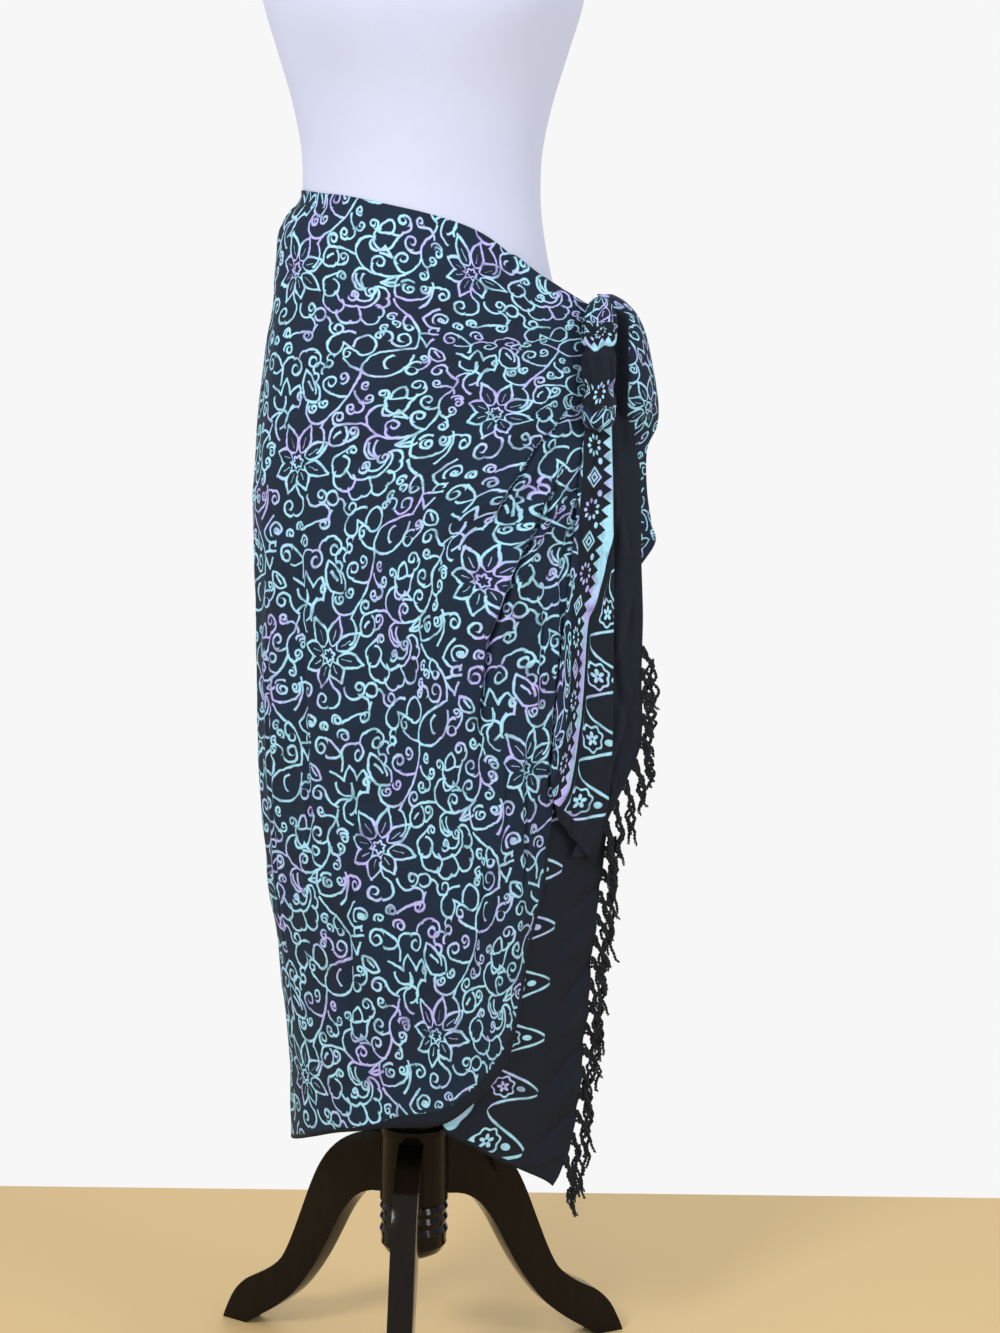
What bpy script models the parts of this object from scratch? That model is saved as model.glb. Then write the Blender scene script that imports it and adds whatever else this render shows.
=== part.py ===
"""A batik sarong tied round a limbless dress form on a turned tripod stand.

The cloth is one rectangle, wound about one and a half times round the hips and tied in a knot
at the form's left hip. Metres, +Z up, front towards -Y. The stand's pole is the axis that the
sizes below are measured from; the last step centres the whole on the floor.
"""

from collections import namedtuple
from math import atan2, cos, degrees, exp, hypot, pi, radians, sin, sqrt, tau

import bmesh
import bpy
from mathutils import Matrix, Vector

MM = 0.001

# ---------------------------------------------------------------- driving sizes
CLOTH_WALL = 1.5 * MM  # one thickness of cloth with its fall and stiffness
SEAT_GAP = 0.8 * MM  # between cloth and what it rests on, and between neighbours
JOINT_GAP = 0.3 * MM  # between hard pieces that touch
FLAP_DEGREES = 312  # where the hanging ends leave the round of the skirt
FLAP_ANGLE = radians(FLAP_DEGREES)
WRAP_START, WRAP_SIDE = radians(-42), radians(196)  # the wrap's hidden start, and the form's right hip
INNER_LIFT, OUTER_LIFT = 0.8 * MM, 7.6 * MM  # the two hanging ends, out from the skirt's round
FRONT_LIFT, START_DROP = 4.0 * MM, 3.0 * MM  # the front panel lies over, and the hidden start under, the rest
SNUG = 12.0 * MM  # how far the top edge draws in, until it lies on the form
END_SHARE = 0.14  # of the wrap's columns that lie past the flap angle
SIDE_SHARE = 0.5  # of them that lie before the form's right hip
END_SPREAD = 30  # degrees that the edge tables run on past the flap angle
END_RISE = 45  # mm that the hem climbs there
FLAP_GIRTH = 0.86  # the straight run's girth against the round's half width
CREASE_GIRTH = 150 * MM  # turns an angle into a distance when creases are measured

# The form's rings, in mm: half width each side, and depth before and behind the pole's axis.
Ring = namedtuple("Ring", "height half_width front back")
FORM_RINGS = (
    Ring(986, 150, 98, 120),
    Ring(1000, 162, 108, 131),
    Ring(1048, 167.5, 114, 134),
    Ring(1108, 163.5, 112, 127),
    Ring(1150, 157, 109, 119),
    Ring(1195, 147, 105, 108),
    Ring(1240, 136, 99.5, 98),
    Ring(1285, 128.5, 94.5, 92.5),
    Ring(1315, 126.5, 92.5, 91),
    Ring(1355, 128, 95, 94),
    Ring(1405, 138, 104, 101),
    Ring(1455, 153, 117, 108),
    Ring(1505, 168, 126, 113),
    Ring(1555, 176, 121, 117),
    Ring(1605, 178, 103, 119),
    Ring(1650, 178, 84, 113),
    Ring(1685, 168, 70, 99),
    Ring(1710, 135, 62, 82),
    Ring(1728, 96, 57, 67),
    Ring(1745, 68, 54, 58),
    Ring(1770, 57.5, 51, 52),
    Ring(1802, 55.5, 50, 50.5),
)
BUST = {"height": 1500 * MM, "angle": radians(27), "push": 17 * MM, "tall": 62 * MM, "wide": radians(24)}
NECK_LEAN = 9 * MM  # the neck stands a little forward of the pole

# The skirt's outline where the cloth hangs round the hips, in mm.
Girth = namedtuple("Girth", "height left right front back")
SKIRT = (
    Girth(1330, 129, 129, 96.5, 96),
    Girth(1310, 133.5, 130, 97, 96.5),
    Girth(1285, 149, 134, 99.5, 99),
    Girth(1240, 154, 144.5, 105.5, 105),
    Girth(1195, 158, 156, 111.5, 115),
    Girth(1150, 166, 165, 116, 126),
    Girth(1108, 170.5, 170.5, 119, 134),
    Girth(1048, 174.5, 174.5, 121.5, 140.5),
    Girth(980, 177.5, 177, 123, 142),
    Girth(917, 176, 175.5, 124, 142),
    Girth(838, 174.5, 174, 125.5, 141.5),
    Girth(757, 172.5, 171.5, 127.5, 141),
    Girth(675, 169.5, 168.5, 129.5, 140.5),
    Girth(593, 164.5, 164, 131.5, 140),
    Girth(540, 160, 160, 133, 140),
    Girth(489, 152, 151.5, 134.5, 139.5),
    Girth(429, 146, 146, 136, 139),
    Girth(362, 140, 140, 138, 138.5),
    Girth(308, 137.5, 137.5, 139.5, 138),
    Girth(250, 136, 136, 141, 138),
)

# The cloth's upper and lower edge round the body, in mm. Angles run from 0 at the form's left
# hip, over the back at 90 and the form's right hip at 180, to the front at 270 degrees.
Edge = namedtuple("Edge", "angle top hem")
EDGES = (
    Edge(-45, 1188, 292),
    Edge(0, 1200, 270),
    Edge(45, 1236, 262),
    Edge(90, 1274, 268),
    Edge(140, 1302, 266),
    Edge(180, 1311, 270),
    Edge(200, 1310, 282),
    Edge(220, 1306, 299),
    Edge(238, 1302, 314),
    Edge(262, 1291, 326),
    Edge(284, 1278, 331),
    Edge(297, 1267, 349),
    Edge(307, 1254, 368),
    Edge(315, 1240, 392),
    Edge(322, 1225, 424),
    Edge(345, 1190, 440),
)

# Where the front panel ends on the form's left, as distance from the pole's axis, in mm.
Side = namedtuple("Side", "height across")
PANEL_END = (
    Side(1215, 176),
    Side(1100, 177),
    Side(1050, 174),
    Side(1000, 170),
    Side(829, 160),
    Side(679, 146),
    Side(622, 142),
    Side(592, 139.5),
    Side(558, 134),
    Side(505, 122.5),
    Side(465, 117),
    Side(425, 110),
)

# Ridges (+) and troughs (-) drawn by the knot and by the cloth's own weight: from one point of
# the skirt to another, as angle in degrees and height in mm, with depth and half breadth in mm.
Crease = namedtuple("Crease", "angle height to_angle to_height depth breadth")
CREASES = (
    Crease(338, 1140, 290, 1085, 3.4, 26),
    Crease(338, 1075, 306, 930, 4.6, 24),
    Crease(326, 1010, 300, 820, 7.0, 20),
    Crease(300, 820, 302, 520, 4.6, 18),
    Crease(291, 900, 294, 560, -3.2, 18),
    Crease(317, 900, 314, 500, 4.6, 16),
    Crease(228, 1010, 226, 480, -3.6, 22),
    Crease(244, 900, 240, 330, 3.0, 24),
    Crease(262, 760, 268, 340, -3.2, 22),
    Crease(204, 1180, 207, 640, 3.0, 18),
    Crease(170, 1200, 166, 420, -3.2, 22),
    Crease(148, 900, 150, 240, 4.4, 26),
    Crease(122, 1000, 126, 260, -4.0, 24),
    Crease(96, 820, 98, 230, 5.0, 26),
    Crease(70, 960, 74, 250, -4.5, 22),
    Crease(44, 840, 50, 220, 5.5, 22),
    Crease(24, 1000, 28, 230, -4.5, 18),
    Crease(2, 1110, 50, 1020, 4.2, 28),
    Crease(0, 1040, 26, 840, 4.6, 22),
)

# The inner end: a flat stretch that hangs from the knot under the front panel.
# Its hidden start and its fringed edge, as distance from the pole's axis, in mm.
Hang = namedtuple("Hang", "height start edge")
INNER_END = (
    Hang(1050, 166, 200),
    Hang(960, 158, 203),
    Hang(860, 144, 206),
    Hang(760, 126, 209),
    Hang(680, 110, 209),
    Hang(593, 92, 206),
    Hang(528, 76, 198),
    Hang(456, 62, 192),
    Hang(392, 54, 186),
    Hang(333, 50, 181),
    Hang(282, 47, 173),
    Hang(243, 45, 160),
    Hang(230, 45, 151),
)
INNER_HEM = {"start": 322 * MM, "edge": 232 * MM, "curl": 0.75}

# The outer end: pleats that fall from the knot, folded once, with a plain band at the edge.
Fall = namedtuple("Fall", "height left fold edge")
OUTER_END = (
    Fall(1072, 172, 194, 222),
    Fall(1020, 166, 197, 232),
    Fall(960, 162, 198, 234),
    Fall(925, 159, 199, 235),
    Fall(860, 154, 199.5, 238),
    Fall(800, 149, 200.5, 238),
    Fall(745, 145, 201.5, 240),
    Fall(715, 143, 201.5, 237),
    Fall(680, 141, 200.5, 222),
    Fall(645, 140, 196, 205),
    Fall(600, 148, 177, 188),
)
OUTER_HEM = {"left": 648 * MM, "fold": 606 * MM, "edge": 600 * MM}
# Its folds seen from above: share runs 0 at the left, 1 at the fold, 2 at the fringed edge.
Fold = namedtuple("Fold", "share shift lift")
OUTER_FOLDS = (
    Fold(0.00, 0, 2.0),
    Fold(0.12, 0, 5.0),
    Fold(0.26, 0, 9.0),
    Fold(0.38, 0, 5.5),
    Fold(0.50, 0, 4.8),
    Fold(0.64, 0, 9.5),
    Fold(0.76, 0, 8.4),
    Fold(0.88, 0, 9.6),
    Fold(0.97, 0, 10.6),
    Fold(1.00, 1.2, 9.0),
    Fold(1.00, -0.6, 7.2),
    Fold(1.00, -6.0, 6.4),
    Fold(1.00, -13.0, 6.2),
    Fold(1.00, -15.0, 4.4),
    Fold(1.00, -13.0, 2.6),
    Fold(1.00, -5.0, 2.0),
    Fold(1.10, 0, 2.2),
    Fold(1.35, 0, 3.6),
    Fold(1.60, 0, 1.4),
    Fold(1.80, 0, 3.0),
    Fold(2.00, 0, 1.6),
)

# The knot and the loop and corner of cloth that stand out past it.
KNOT = {"across": 178.5, "height": 1138, "half_across": 15.5, "half_height": 65, "out": 20.9, "half_out": 15}
KNOT_FLUTES = 7
Loop = namedtuple("Loop", "height left right out bulge")
KNOT_LOOP = (
    Loop(1206, 187, 204, 1, 2),
    Loop(1198, 189, 220, 1, 9),
    Loop(1172, 190, 238, 1, 17),
    Loop(1125, 190, 250, 1, 21),
    Loop(1090, 194, 257, -0.9, 18),
    Loop(1066, 205, 258, -4.8, 8.5),
    Loop(1042, 215, 249, -7, 4),
    Loop(1000, 222, 250, -8, 4),
    Loop(962, 228, 256, -8, 3),
    Loop(941, 234, 261, -8, 2),
    Loop(914, 236, 243, -8, 1),
)

# Fringe: knotted locks on a narrow woven strip beside the cloth's edge.
LOCK_PITCH = 12.5 * MM
LOCK_ROOT = 4.0 * MM
STRIP_WIDTH = 3.0 * MM
STRIP_GAP = 0.95 * MM  # to the cloth's edge
INNER_ROWS, OUTER_ROWS = 20, 11  # rows of faces down each end of the cloth

# The stand, in mm.
POLE_RADIUS = 12.5
HUB_RADIUS = 38.5
LEG_BOARD = 27.0
LEG_ROUND = 8.0
TRIPOD_TURN = radians(3)
Turning = namedtuple("Turning", "height radius")
COLUMN = (
    Turning(560, 0),
    Turning(560, 17),
    Turning(548, 21),
    Turning(540, 25),
    Turning(528, 25),
    Turning(520, 20),
    Turning(440, 22),
    Turning(340, 28),
    Turning(312, 31),
    Turning(306, 36),
    Turning(297, 39),
    Turning(289, 36),
    Turning(286, 39.5),
    Turning(278, 39.5),
    Turning(275.5, 38.5),
    Turning(200, 38.5),
    Turning(197, 36),
    Turning(191, 38.5),
    Turning(185, 36),
    Turning(179, 38.5),
    Turning(172, 36),
    Turning(165, 38.8),
    Turning(157, 36.5),
    Turning(149, 37),
    Turning(140, 31),
    Turning(134, 20),
    Turning(132, 0),
)
Outline = namedtuple("Outline", "reach height")
LEG_TOP_EDGE = (
    Outline(34, 273),
    Outline(58, 269),
    Outline(86, 257),
    Outline(108, 239),
    Outline(124, 217),
    Outline(137, 190),
    Outline(150, 157),
    Outline(165, 120),
    Outline(179, 93),
    Outline(196, 77),
    Outline(213, 66),
    Outline(233, 54),
    Outline(250, 36),
    Outline(262, 13),
    Outline(267, 0),
)
LEG_UNDER_EDGE = (
    Outline(232, 0),
    Outline(212, 14),
    Outline(190, 29),
    Outline(165, 50),
    Outline(145, 74),
    Outline(127, 101),
    Outline(111, 130),
    Outline(94, 162),
    Outline(76, 186),
    Outline(56, 199),
    Outline(34, 203),
)

BODY = bpy.data.collections.new("batik_sarong_on_form")
TOOLS = bpy.data.collections.new("cutters")


# ---------------------------------------------------------------- small helpers
def clear_scene():
    for item in list(bpy.data.objects):
        bpy.data.objects.remove(item)
    for group in (BODY, TOOLS):
        bpy.context.scene.collection.children.link(group)


def material(name, colour, roughness, metallic=0.0, coat=0.0):
    made = bpy.data.materials.new(name)
    made.use_nodes = True
    shader = made.node_tree.nodes["Principled BSDF"]
    shader.inputs["Base Color"].default_value = (*colour, 1.0)
    shader.inputs["Roughness"].default_value = roughness
    shader.inputs["Metallic"].default_value = metallic
    shader.inputs["Coat Weight"].default_value = coat
    return made


def smooth_step(low, high, at):
    share = min(1.0, max(0.0, (at - low) / (high - low)))
    return share * share * (3 - 2 * share)


def curve_value(rows, by, column, at):
    """The column's value at one place along a table, on a smooth curve through its rows."""
    keys = [getattr(row, by) for row in rows]
    values = [getattr(row, column) for row in rows]
    if keys[0] > keys[-1]:
        keys.reverse()
        values.reverse()
    if at <= keys[0]:
        return values[0]
    if at >= keys[-1]:
        return values[-1]
    last = len(keys) - 1
    k = max(i for i in range(last) if keys[i] <= at)

    def slope(i):
        low, high = max(i - 1, 0), min(i + 1, last)
        return (values[high] - values[low]) / (keys[high] - keys[low])

    span = keys[k + 1] - keys[k]
    t = (at - keys[k]) / span
    start, end = slope(k) * span, slope(k + 1) * span
    return (
        values[k] * (2 * t**3 - 3 * t**2 + 1)
        + start * (t**3 - 2 * t**2 + t)
        + values[k + 1] * (3 * t**2 - 2 * t**3)
        + end * (t**3 - t**2)
    )


def along_rows(rows, column, at):
    """The column's value at a fractional row number."""
    k = min(int(at), len(rows) - 2)
    t = at - k
    values = [getattr(rows[min(max(i, 0), len(rows) - 1)], column) for i in range(k - 1, k + 3)]
    start, end = (values[2] - values[0]) / 2, (values[3] - values[1]) / 2
    return (
        values[1] * (2 * t**3 - 3 * t**2 + 1)
        + start * (t**3 - 2 * t**2 + t)
        + values[2] * (3 * t**2 - 2 * t**3)
        + end * (t**3 - t**2)
    )


def keep(name, mesh, finish, smooth=True):
    made = bpy.data.objects.new(name, mesh)
    BODY.objects.link(made)
    mesh.materials.append(finish)
    if smooth:
        mesh.shade_smooth()
        mesh.set_sharp_from_angle(angle=radians(45))
    return made


def mesh_from(shape, name):
    mesh = bpy.data.meshes.new(name)
    shape.to_mesh(mesh)
    shape.free()
    return mesh


def cloth_sheet(name, place, columns, rows, finish, wall=CLOTH_WALL):
    """An open sheet whose points are placed by place(u, v), u across and v down, given a wall."""
    shape = bmesh.new()
    bmesh.ops.create_grid(shape, x_segments=columns, y_segments=rows, size=0.5)
    for vertex in shape.verts:
        vertex.co = place(vertex.co.x + 0.5, 0.5 - vertex.co.y)
    sheet = keep(name, mesh_from(shape, name), finish)
    thick = sheet.modifiers.new("wall", "SOLIDIFY")
    thick.thickness = wall
    thick.offset = 0.0
    thick.use_even_offset = True
    return sheet


# ---------------------------------------------------------------- the round of form and skirt
def round_point(half_width, depth, angle, out=0.0):
    """A point on an ellipse round the pole's axis, moved out along its normal."""
    x, y = half_width * cos(angle), depth * sin(angle)
    nx, ny = cos(angle) / half_width, sin(angle) / depth
    size = hypot(nx, ny)
    return x + out * nx / size, y + out * ny / size


def form_point(height, angle):
    tall = height / MM
    half = curve_value(FORM_RINGS, "height", "half_width", tall) * MM
    column = "back" if sin(angle) > 0 else "front"
    depth = curve_value(FORM_RINGS, "height", column, tall) * MM
    push = 0.0
    for side in (-1, 1):
        turn = (angle - 1.5 * pi - side * BUST["angle"] + pi) % tau - pi
        push += BUST["push"] * exp(-((turn / BUST["wide"]) ** 2) - ((height - BUST["height"]) / BUST["tall"]) ** 2)
    x, y = round_point(half, depth, angle, push)
    lean = NECK_LEAN * smooth_step(1.66, 1.78, height)
    return Vector((x, y - lean, height))


def skirt_size(height, angle):
    tall = height / MM
    across = "right" if cos(angle) > 0 else "left"
    through = "back" if sin(angle) > 0 else "front"
    half = curve_value(SKIRT, "height", across, tall) * MM
    return half, curve_value(SKIRT, "height", through, tall) * MM


def skirt_point(height, angle, out):
    """A point of the skirt's round; past FLAP_ANGLE the cloth runs straight on instead."""
    half, depth = skirt_size(height, angle)
    x, y = round_point(half, depth, angle, out)
    return Vector((x, y, height))


def flap_frame(height):
    """Where the hanging ends leave the skirt, the way they run, and the way they face."""
    half, depth = skirt_size(height, FLAP_ANGLE)
    corner = Vector((half * cos(FLAP_ANGLE), depth * sin(FLAP_ANGLE), height))
    along = Vector((-half * sin(FLAP_ANGLE), depth * cos(FLAP_ANGLE), 0)).normalized()
    return corner, along, Vector((along.y, -along.x, 0))


def flap_point(across, height, out):
    """A point of a hanging end, by its distance to the form's left of the pole's axis."""
    corner, along, facing = flap_frame(height)
    if across >= corner.x:
        return corner + along * ((across - corner.x) / along.x) + facing * out
    half, depth = skirt_size(height, FLAP_ANGLE)
    angle = tau - atan2(sqrt(max(0.0, 1 - (across / half) ** 2)), across / half)
    return skirt_point(height, angle, out)


def crease_push(angle, height):
    push = 0.0
    for crease in CREASES:
        start = Vector((radians(crease.angle) * CREASE_GIRTH, crease.height * MM))
        end = Vector((radians(crease.to_angle) * CREASE_GIRTH, crease.to_height * MM))
        here = Vector((angle * CREASE_GIRTH, height))
        run = end - start
        share = min(1.0, max(0.0, (here - start).dot(run) / run.length_squared))
        distance = (here - start - run * share).length
        fade = smooth_step(0.0, 0.22, share) * (1 - smooth_step(0.55, 1.0, share) * 0.85)
        push += crease.depth * MM * fade * exp(-((distance / (crease.breadth * MM)) ** 2))
    return push


# ---------------------------------------------------------------- the sarong
def wrap_point(u, v):
    """The long stretch: from under the knot round the back, and over the front to the knot."""
    past = max(0.0, (u - 1 + END_SHARE) / END_SHARE)
    if u < SIDE_SHARE:
        angle = WRAP_START + (WRAP_SIDE - WRAP_START) * u / SIDE_SHARE
    else:
        share = min(1.0, (u - SIDE_SHARE) / (1 - SIDE_SHARE - END_SHARE))
        angle = WRAP_SIDE + (FLAP_ANGLE - WRAP_SIDE) * share
    top = curve_value(EDGES, "angle", "top", degrees(angle) + END_SPREAD * past)
    hem = curve_value(EDGES, "angle", "hem", degrees(angle)) + END_RISE * past**1.6
    height = (top + (hem - top) * v) * MM
    layer = FRONT_LIFT * smooth_step(radians(205), radians(285), angle)
    layer -= START_DROP * (1 - smooth_step(radians(-38), radians(-8), angle))
    layer -= SNUG * (1 - smooth_step(0.0, 0.05, v)) * (1 - past)
    if past == 0:
        point = skirt_point(height, angle, layer + crease_push(angle, height))
    else:
        end = curve_value(PANEL_END, "height", "across", height / MM) * MM
        corner, along, _ = flap_frame(height)
        across = corner.x + (end - corner.x) * past
        half, _ = skirt_size(height, FLAP_ANGLE)
        angle = FLAP_ANGLE + (across - corner.x) / (along.x * half * FLAP_GIRTH)
        point = flap_point(across, height, layer + crease_push(angle, height))
    return clear_of_form(point)


def clear_of_form(point):
    """The cloth keeps just outside the form where it rests on it."""
    if point.z < FORM_RINGS[0].height * MM:
        return point
    tall = point.z / MM
    half = curve_value(FORM_RINGS, "height", "half_width", tall) * MM
    column = "back" if point.y > 0 else "front"
    depth = curve_value(FORM_RINGS, "height", column, tall) * MM
    gap = CLOTH_WALL / 2 + SEAT_GAP
    reach = hypot(point.x / (half + gap), point.y / (depth + gap))
    if reach >= 1:
        return point
    return Vector((point.x / reach, point.y / reach, point.z))


def inner_end_point(u, v):
    top, start, edge = INNER_END[0].height * MM, INNER_HEM["start"], INNER_HEM["edge"]
    low = start + (edge - start) * u ** INNER_HEM["curl"]
    height = top + (low - top) * v
    tall = height / MM
    left = curve_value(INNER_END, "height", "start", tall)
    right = curve_value(INNER_END, "height", "edge", tall)
    ripple = 2.5 * MM * u * sin(5.2 * u + 9.0 * height) * smooth_step(0.95, 0.6, 1 - v)
    return flap_point((left + (right - left) * u) * MM, height, INNER_LIFT + ripple)


def outer_end_point(u, v):
    place = u * (len(OUTER_FOLDS) - 1)
    share = along_rows(OUTER_FOLDS, "share", place)
    lift = along_rows(OUTER_FOLDS, "lift", place)
    shift = along_rows(OUTER_FOLDS, "shift", place)
    top = OUTER_END[0].height * MM
    if share <= 1:
        low = OUTER_HEM["left"] + (OUTER_HEM["fold"] - OUTER_HEM["left"]) * share
    else:
        low = OUTER_HEM["fold"] + (OUTER_HEM["edge"] - OUTER_HEM["fold"]) * (share - 1)
    height = top + (low - top) * v
    tall = (top + (OUTER_HEM["edge"] - top) * v) / MM
    left, fold, edge = (curve_value(OUTER_END, "height", name, tall) for name in ("left", "fold", "edge"))
    across = left + (fold - left) * share if share <= 1 else fold + (edge - fold) * (share - 1)
    ease = 0.75 + 0.25 * sin(pi * min(1.0, v * 1.1))
    return flap_point((across + shift) * MM, height, OUTER_LIFT + lift * ease * MM)


def knot(finish):
    """A gathered lump, fluted by the folds that run through it and pinched below."""
    shape = bmesh.new()
    bmesh.ops.create_uvsphere(shape, u_segments=24, v_segments=14, radius=1.0)
    for vertex in shape.verts:
        turn = atan2(vertex.co.y, vertex.co.x)
        tall = vertex.co.z
        flute = 1 + 0.09 * cos(KNOT_FLUTES * turn + 1.6 * tall) * (1 - tall * tall)
        pinch = 1 - 0.22 * exp(-(((tall + 0.62) / 0.16) ** 2)) - 0.10 * exp(-(((tall - 0.45) / 0.14) ** 2))
        size = sqrt(max(0.0, 1 - tall**6)) / max(1e-6, sqrt(max(1e-9, 1 - tall**2)))
        size = size * flute * pinch if abs(tall) < 0.999 else 0.0
        across = KNOT["across"] + KNOT["half_across"] * vertex.co.x * size
        out = KNOT["out"] + KNOT["half_out"] * -vertex.co.y * size
        height = KNOT["height"] + KNOT["half_height"] * tall
        vertex.co = flap_point(across * MM, height * MM, out * MM)
    bmesh.ops.recalc_face_normals(shape, faces=shape.faces)
    return keep("sarong_knot", mesh_from(shape, "sarong_knot"), finish)


def knot_loop_point(u, v):
    place = v * (len(KNOT_LOOP) - 1)
    left, right, out, bulge, height = (
        along_rows(KNOT_LOOP, name, place) for name in ("left", "right", "out", "bulge", "height")
    )
    arch = sin(pi * u) ** 0.8 if 0 < u < 1 else 0.0
    return flap_point((left + (right - left) * u) * MM, height * MM, (out + bulge * arch) * MM)


def fringe(name, edge, facing, lengths, lean, finish):
    """A narrow strip beside an edge, with a lock drawn out of it at each root.

    edge is a list of points down the cloth's edge and facing gives, at each, the way out of
    the cloth. Each lock leaves the strip that way and turns down in a few steps.
    """
    locks = len(lengths)
    shape = bmesh.new()
    bmesh.ops.create_grid(shape, x_segments=2 * locks, y_segments=1, size=0.5)
    for vertex in shape.verts:
        step = round((vertex.co.x + 0.5) * 2 * locks)
        outer = vertex.co.y > 0
        vertex.co = edge[step] + facing[step] * (STRIP_GAP + (STRIP_WIDTH if outer else 0.0))
    bmesh.ops.recalc_face_normals(shape, faces=shape.faces)
    bmesh.ops.solidify(shape, geom=shape.faces[:], thickness=CLOTH_WALL)
    bmesh.ops.recalc_face_normals(shape, faces=shape.faces)
    shape.faces.ensure_lookup_table()
    for lock, length in enumerate(lengths):
        middle = (edge[2 * lock] + edge[2 * lock + 1]) / 2
        way = (facing[2 * lock] + facing[2 * lock + 1]).normalized()
        root = max(
            (face for face in shape.faces if face.normal.dot(way) > 0.8),
            key=lambda face: -(face.calc_center_median() - middle).length,
        )
        draw_lock(shape, root, way, length, lean[lock])
    bmesh.ops.recalc_face_normals(shape, faces=shape.faces)
    return keep(name, mesh_from(shape, name), finish, smooth=False)


def draw_lock(shape, root, way, length, lean):
    """One lock: out of the strip, over in a bend, and down to a loose end."""
    side, tip = lean
    down = Vector((0, 0, -1))
    steps = (
        (way, 0.07, 0.95),
        ((way * 0.75 + down * 0.6 + side).normalized(), 0.12, 0.95),
        ((way * tip + down + side).normalized(), 0.36, 1.2),
        ((way * tip * 0.9 + down - side * 0.3).normalized(), 0.45, 0.6),
    )
    last, face = way, root
    for heading, share, grow in steps:
        made = bmesh.ops.extrude_discrete_faces(shape, faces=[face])
        face = made["faces"][0]
        corners = face.verts[:]
        centre = face.calc_center_median()
        turn = last.rotation_difference(heading).to_matrix()
        bmesh.ops.rotate(shape, verts=corners, cent=centre, matrix=turn)
        bmesh.ops.translate(shape, verts=corners, vec=heading * length * share)
        centre = face.calc_center_median()
        if face is not root and last is way and heading is way:
            square_up(shape, face, centre, way)
        bmesh.ops.scale(shape, verts=corners, vec=(grow,) * 3, space=Matrix.Translation(-centre))
        last = heading


def square_up(shape, face, centre, way):
    """The lock leaves the strip as a flat root and becomes about as thick as it is wide."""
    size = 1.7 * MM
    across = way.cross(Vector((0, 0, 1))).normalized()
    for corner in face.verts:
        offset = corner.co - centre
        upward = 1 if offset.z > 0 else -1
        sideways = 1 if offset.dot(across) > 0 else -1
        corner.co = centre + across * sideways * size + way.cross(across) * -upward * size


def edge_steps(place, rows, start, end):
    """Points down a sheet's side edge, a root and a space by turns, and the way out of the cloth."""
    corners = [place(1.0, k / rows) for k in range(rows + 1)]
    fine = []
    for k in range(401):
        at = (start + (end - start) * k / 400) * rows
        row = min(int(at), rows - 1)
        fine.append(corners[row].lerp(corners[row + 1], at - row))
    lengths = [0.0]
    for a, b in zip(fine, fine[1:]):
        lengths.append(lengths[-1] + (b - a).length)
    locks = int(lengths[-1] // LOCK_PITCH)
    spots = []
    for lock in range(locks):
        spots += [lock * LOCK_PITCH, lock * LOCK_PITCH + LOCK_ROOT]
    spots.append(locks * LOCK_PITCH)
    points, ways = [], []
    for spot in spots:
        k = min(range(401), key=lambda i: abs(lengths[i] - spot))
        points.append(fine[k])
        tangent = (fine[min(k + 8, 400)] - fine[max(k - 8, 0)]).normalized()
        _, along, _ = flap_frame(fine[k].z)
        ways.append((along - tangent * along.dot(tangent)).normalized())
    return points, ways


def build_fringes(finish):
    points, ways = edge_steps(inner_end_point, INNER_ROWS, 0.52, 0.995)
    locks = len(points) // 2
    corner = [18 * smooth_step(locks - 5, locks - 1, k) for k in range(locks)]
    lengths = [(62 + 9 * sin(2.4 * k) + 5 * sin(5.1 * k) + corner[k]) * MM for k in range(locks)]
    lean = [(fringe_side(k), 0.42 + 0.10 * sin(1.7 * k)) for k in range(locks)]
    fringe("fringe_inner_end", points, ways, lengths, lean, finish)
    points, ways = edge_steps(outer_end_point, OUTER_ROWS, 0.50, 0.995)
    locks = len(points) // 2
    lengths = [(56 + 9 * sin(1.9 * k + 1) + 5 * sin(4.3 * k)) * MM for k in range(locks)]
    lean = [(fringe_side(k + 3), 0.36 + 0.10 * sin(2.3 * k)) for k in range(locks)]
    fringe("fringe_outer_end", points, ways, lengths, lean, finish)


def fringe_side(k):
    """A little forward or back, by turns, so that the locks keep clear of each other."""
    return Vector((0.0, -0.16 if k % 2 else 0.10, 0.0))


# ---------------------------------------------------------------- the form and its stand
def torso(finish):
    rings = 25
    shape = bmesh.new()
    bmesh.ops.create_uvsphere(shape, u_segments=36, v_segments=rings, radius=1.0)
    low, high = FORM_RINGS[0].height * MM, FORM_RINGS[-1].height * MM
    spots = ring_heights(rings - 1, low, high)
    for vertex in shape.verts:
        if abs(vertex.co.z) > 0.9999:
            lean = NECK_LEAN if vertex.co.z > 0 else 0.0
            vertex.co = Vector((0, -lean, high if vertex.co.z > 0 else low))
            continue
        ring = round((pi / 2 + atan2(vertex.co.z, hypot(vertex.co.x, vertex.co.y))) / pi * rings) - 1
        vertex.co = form_point(spots[ring], atan2(vertex.co.y, vertex.co.x) % tau)
    bmesh.ops.recalc_face_normals(shape, faces=shape.faces)
    return keep("form_torso", mesh_from(shape, "form_torso"), finish)


def ring_heights(count, low, high):
    """Rings closer together at the shoulders and the lower edge, where the form turns."""
    def dense(share):
        return share - 0.10 * sin(tau * share) / tau * 2
    return [low + (high - low) * dense(k / (count - 1)) for k in range(count)]


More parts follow.
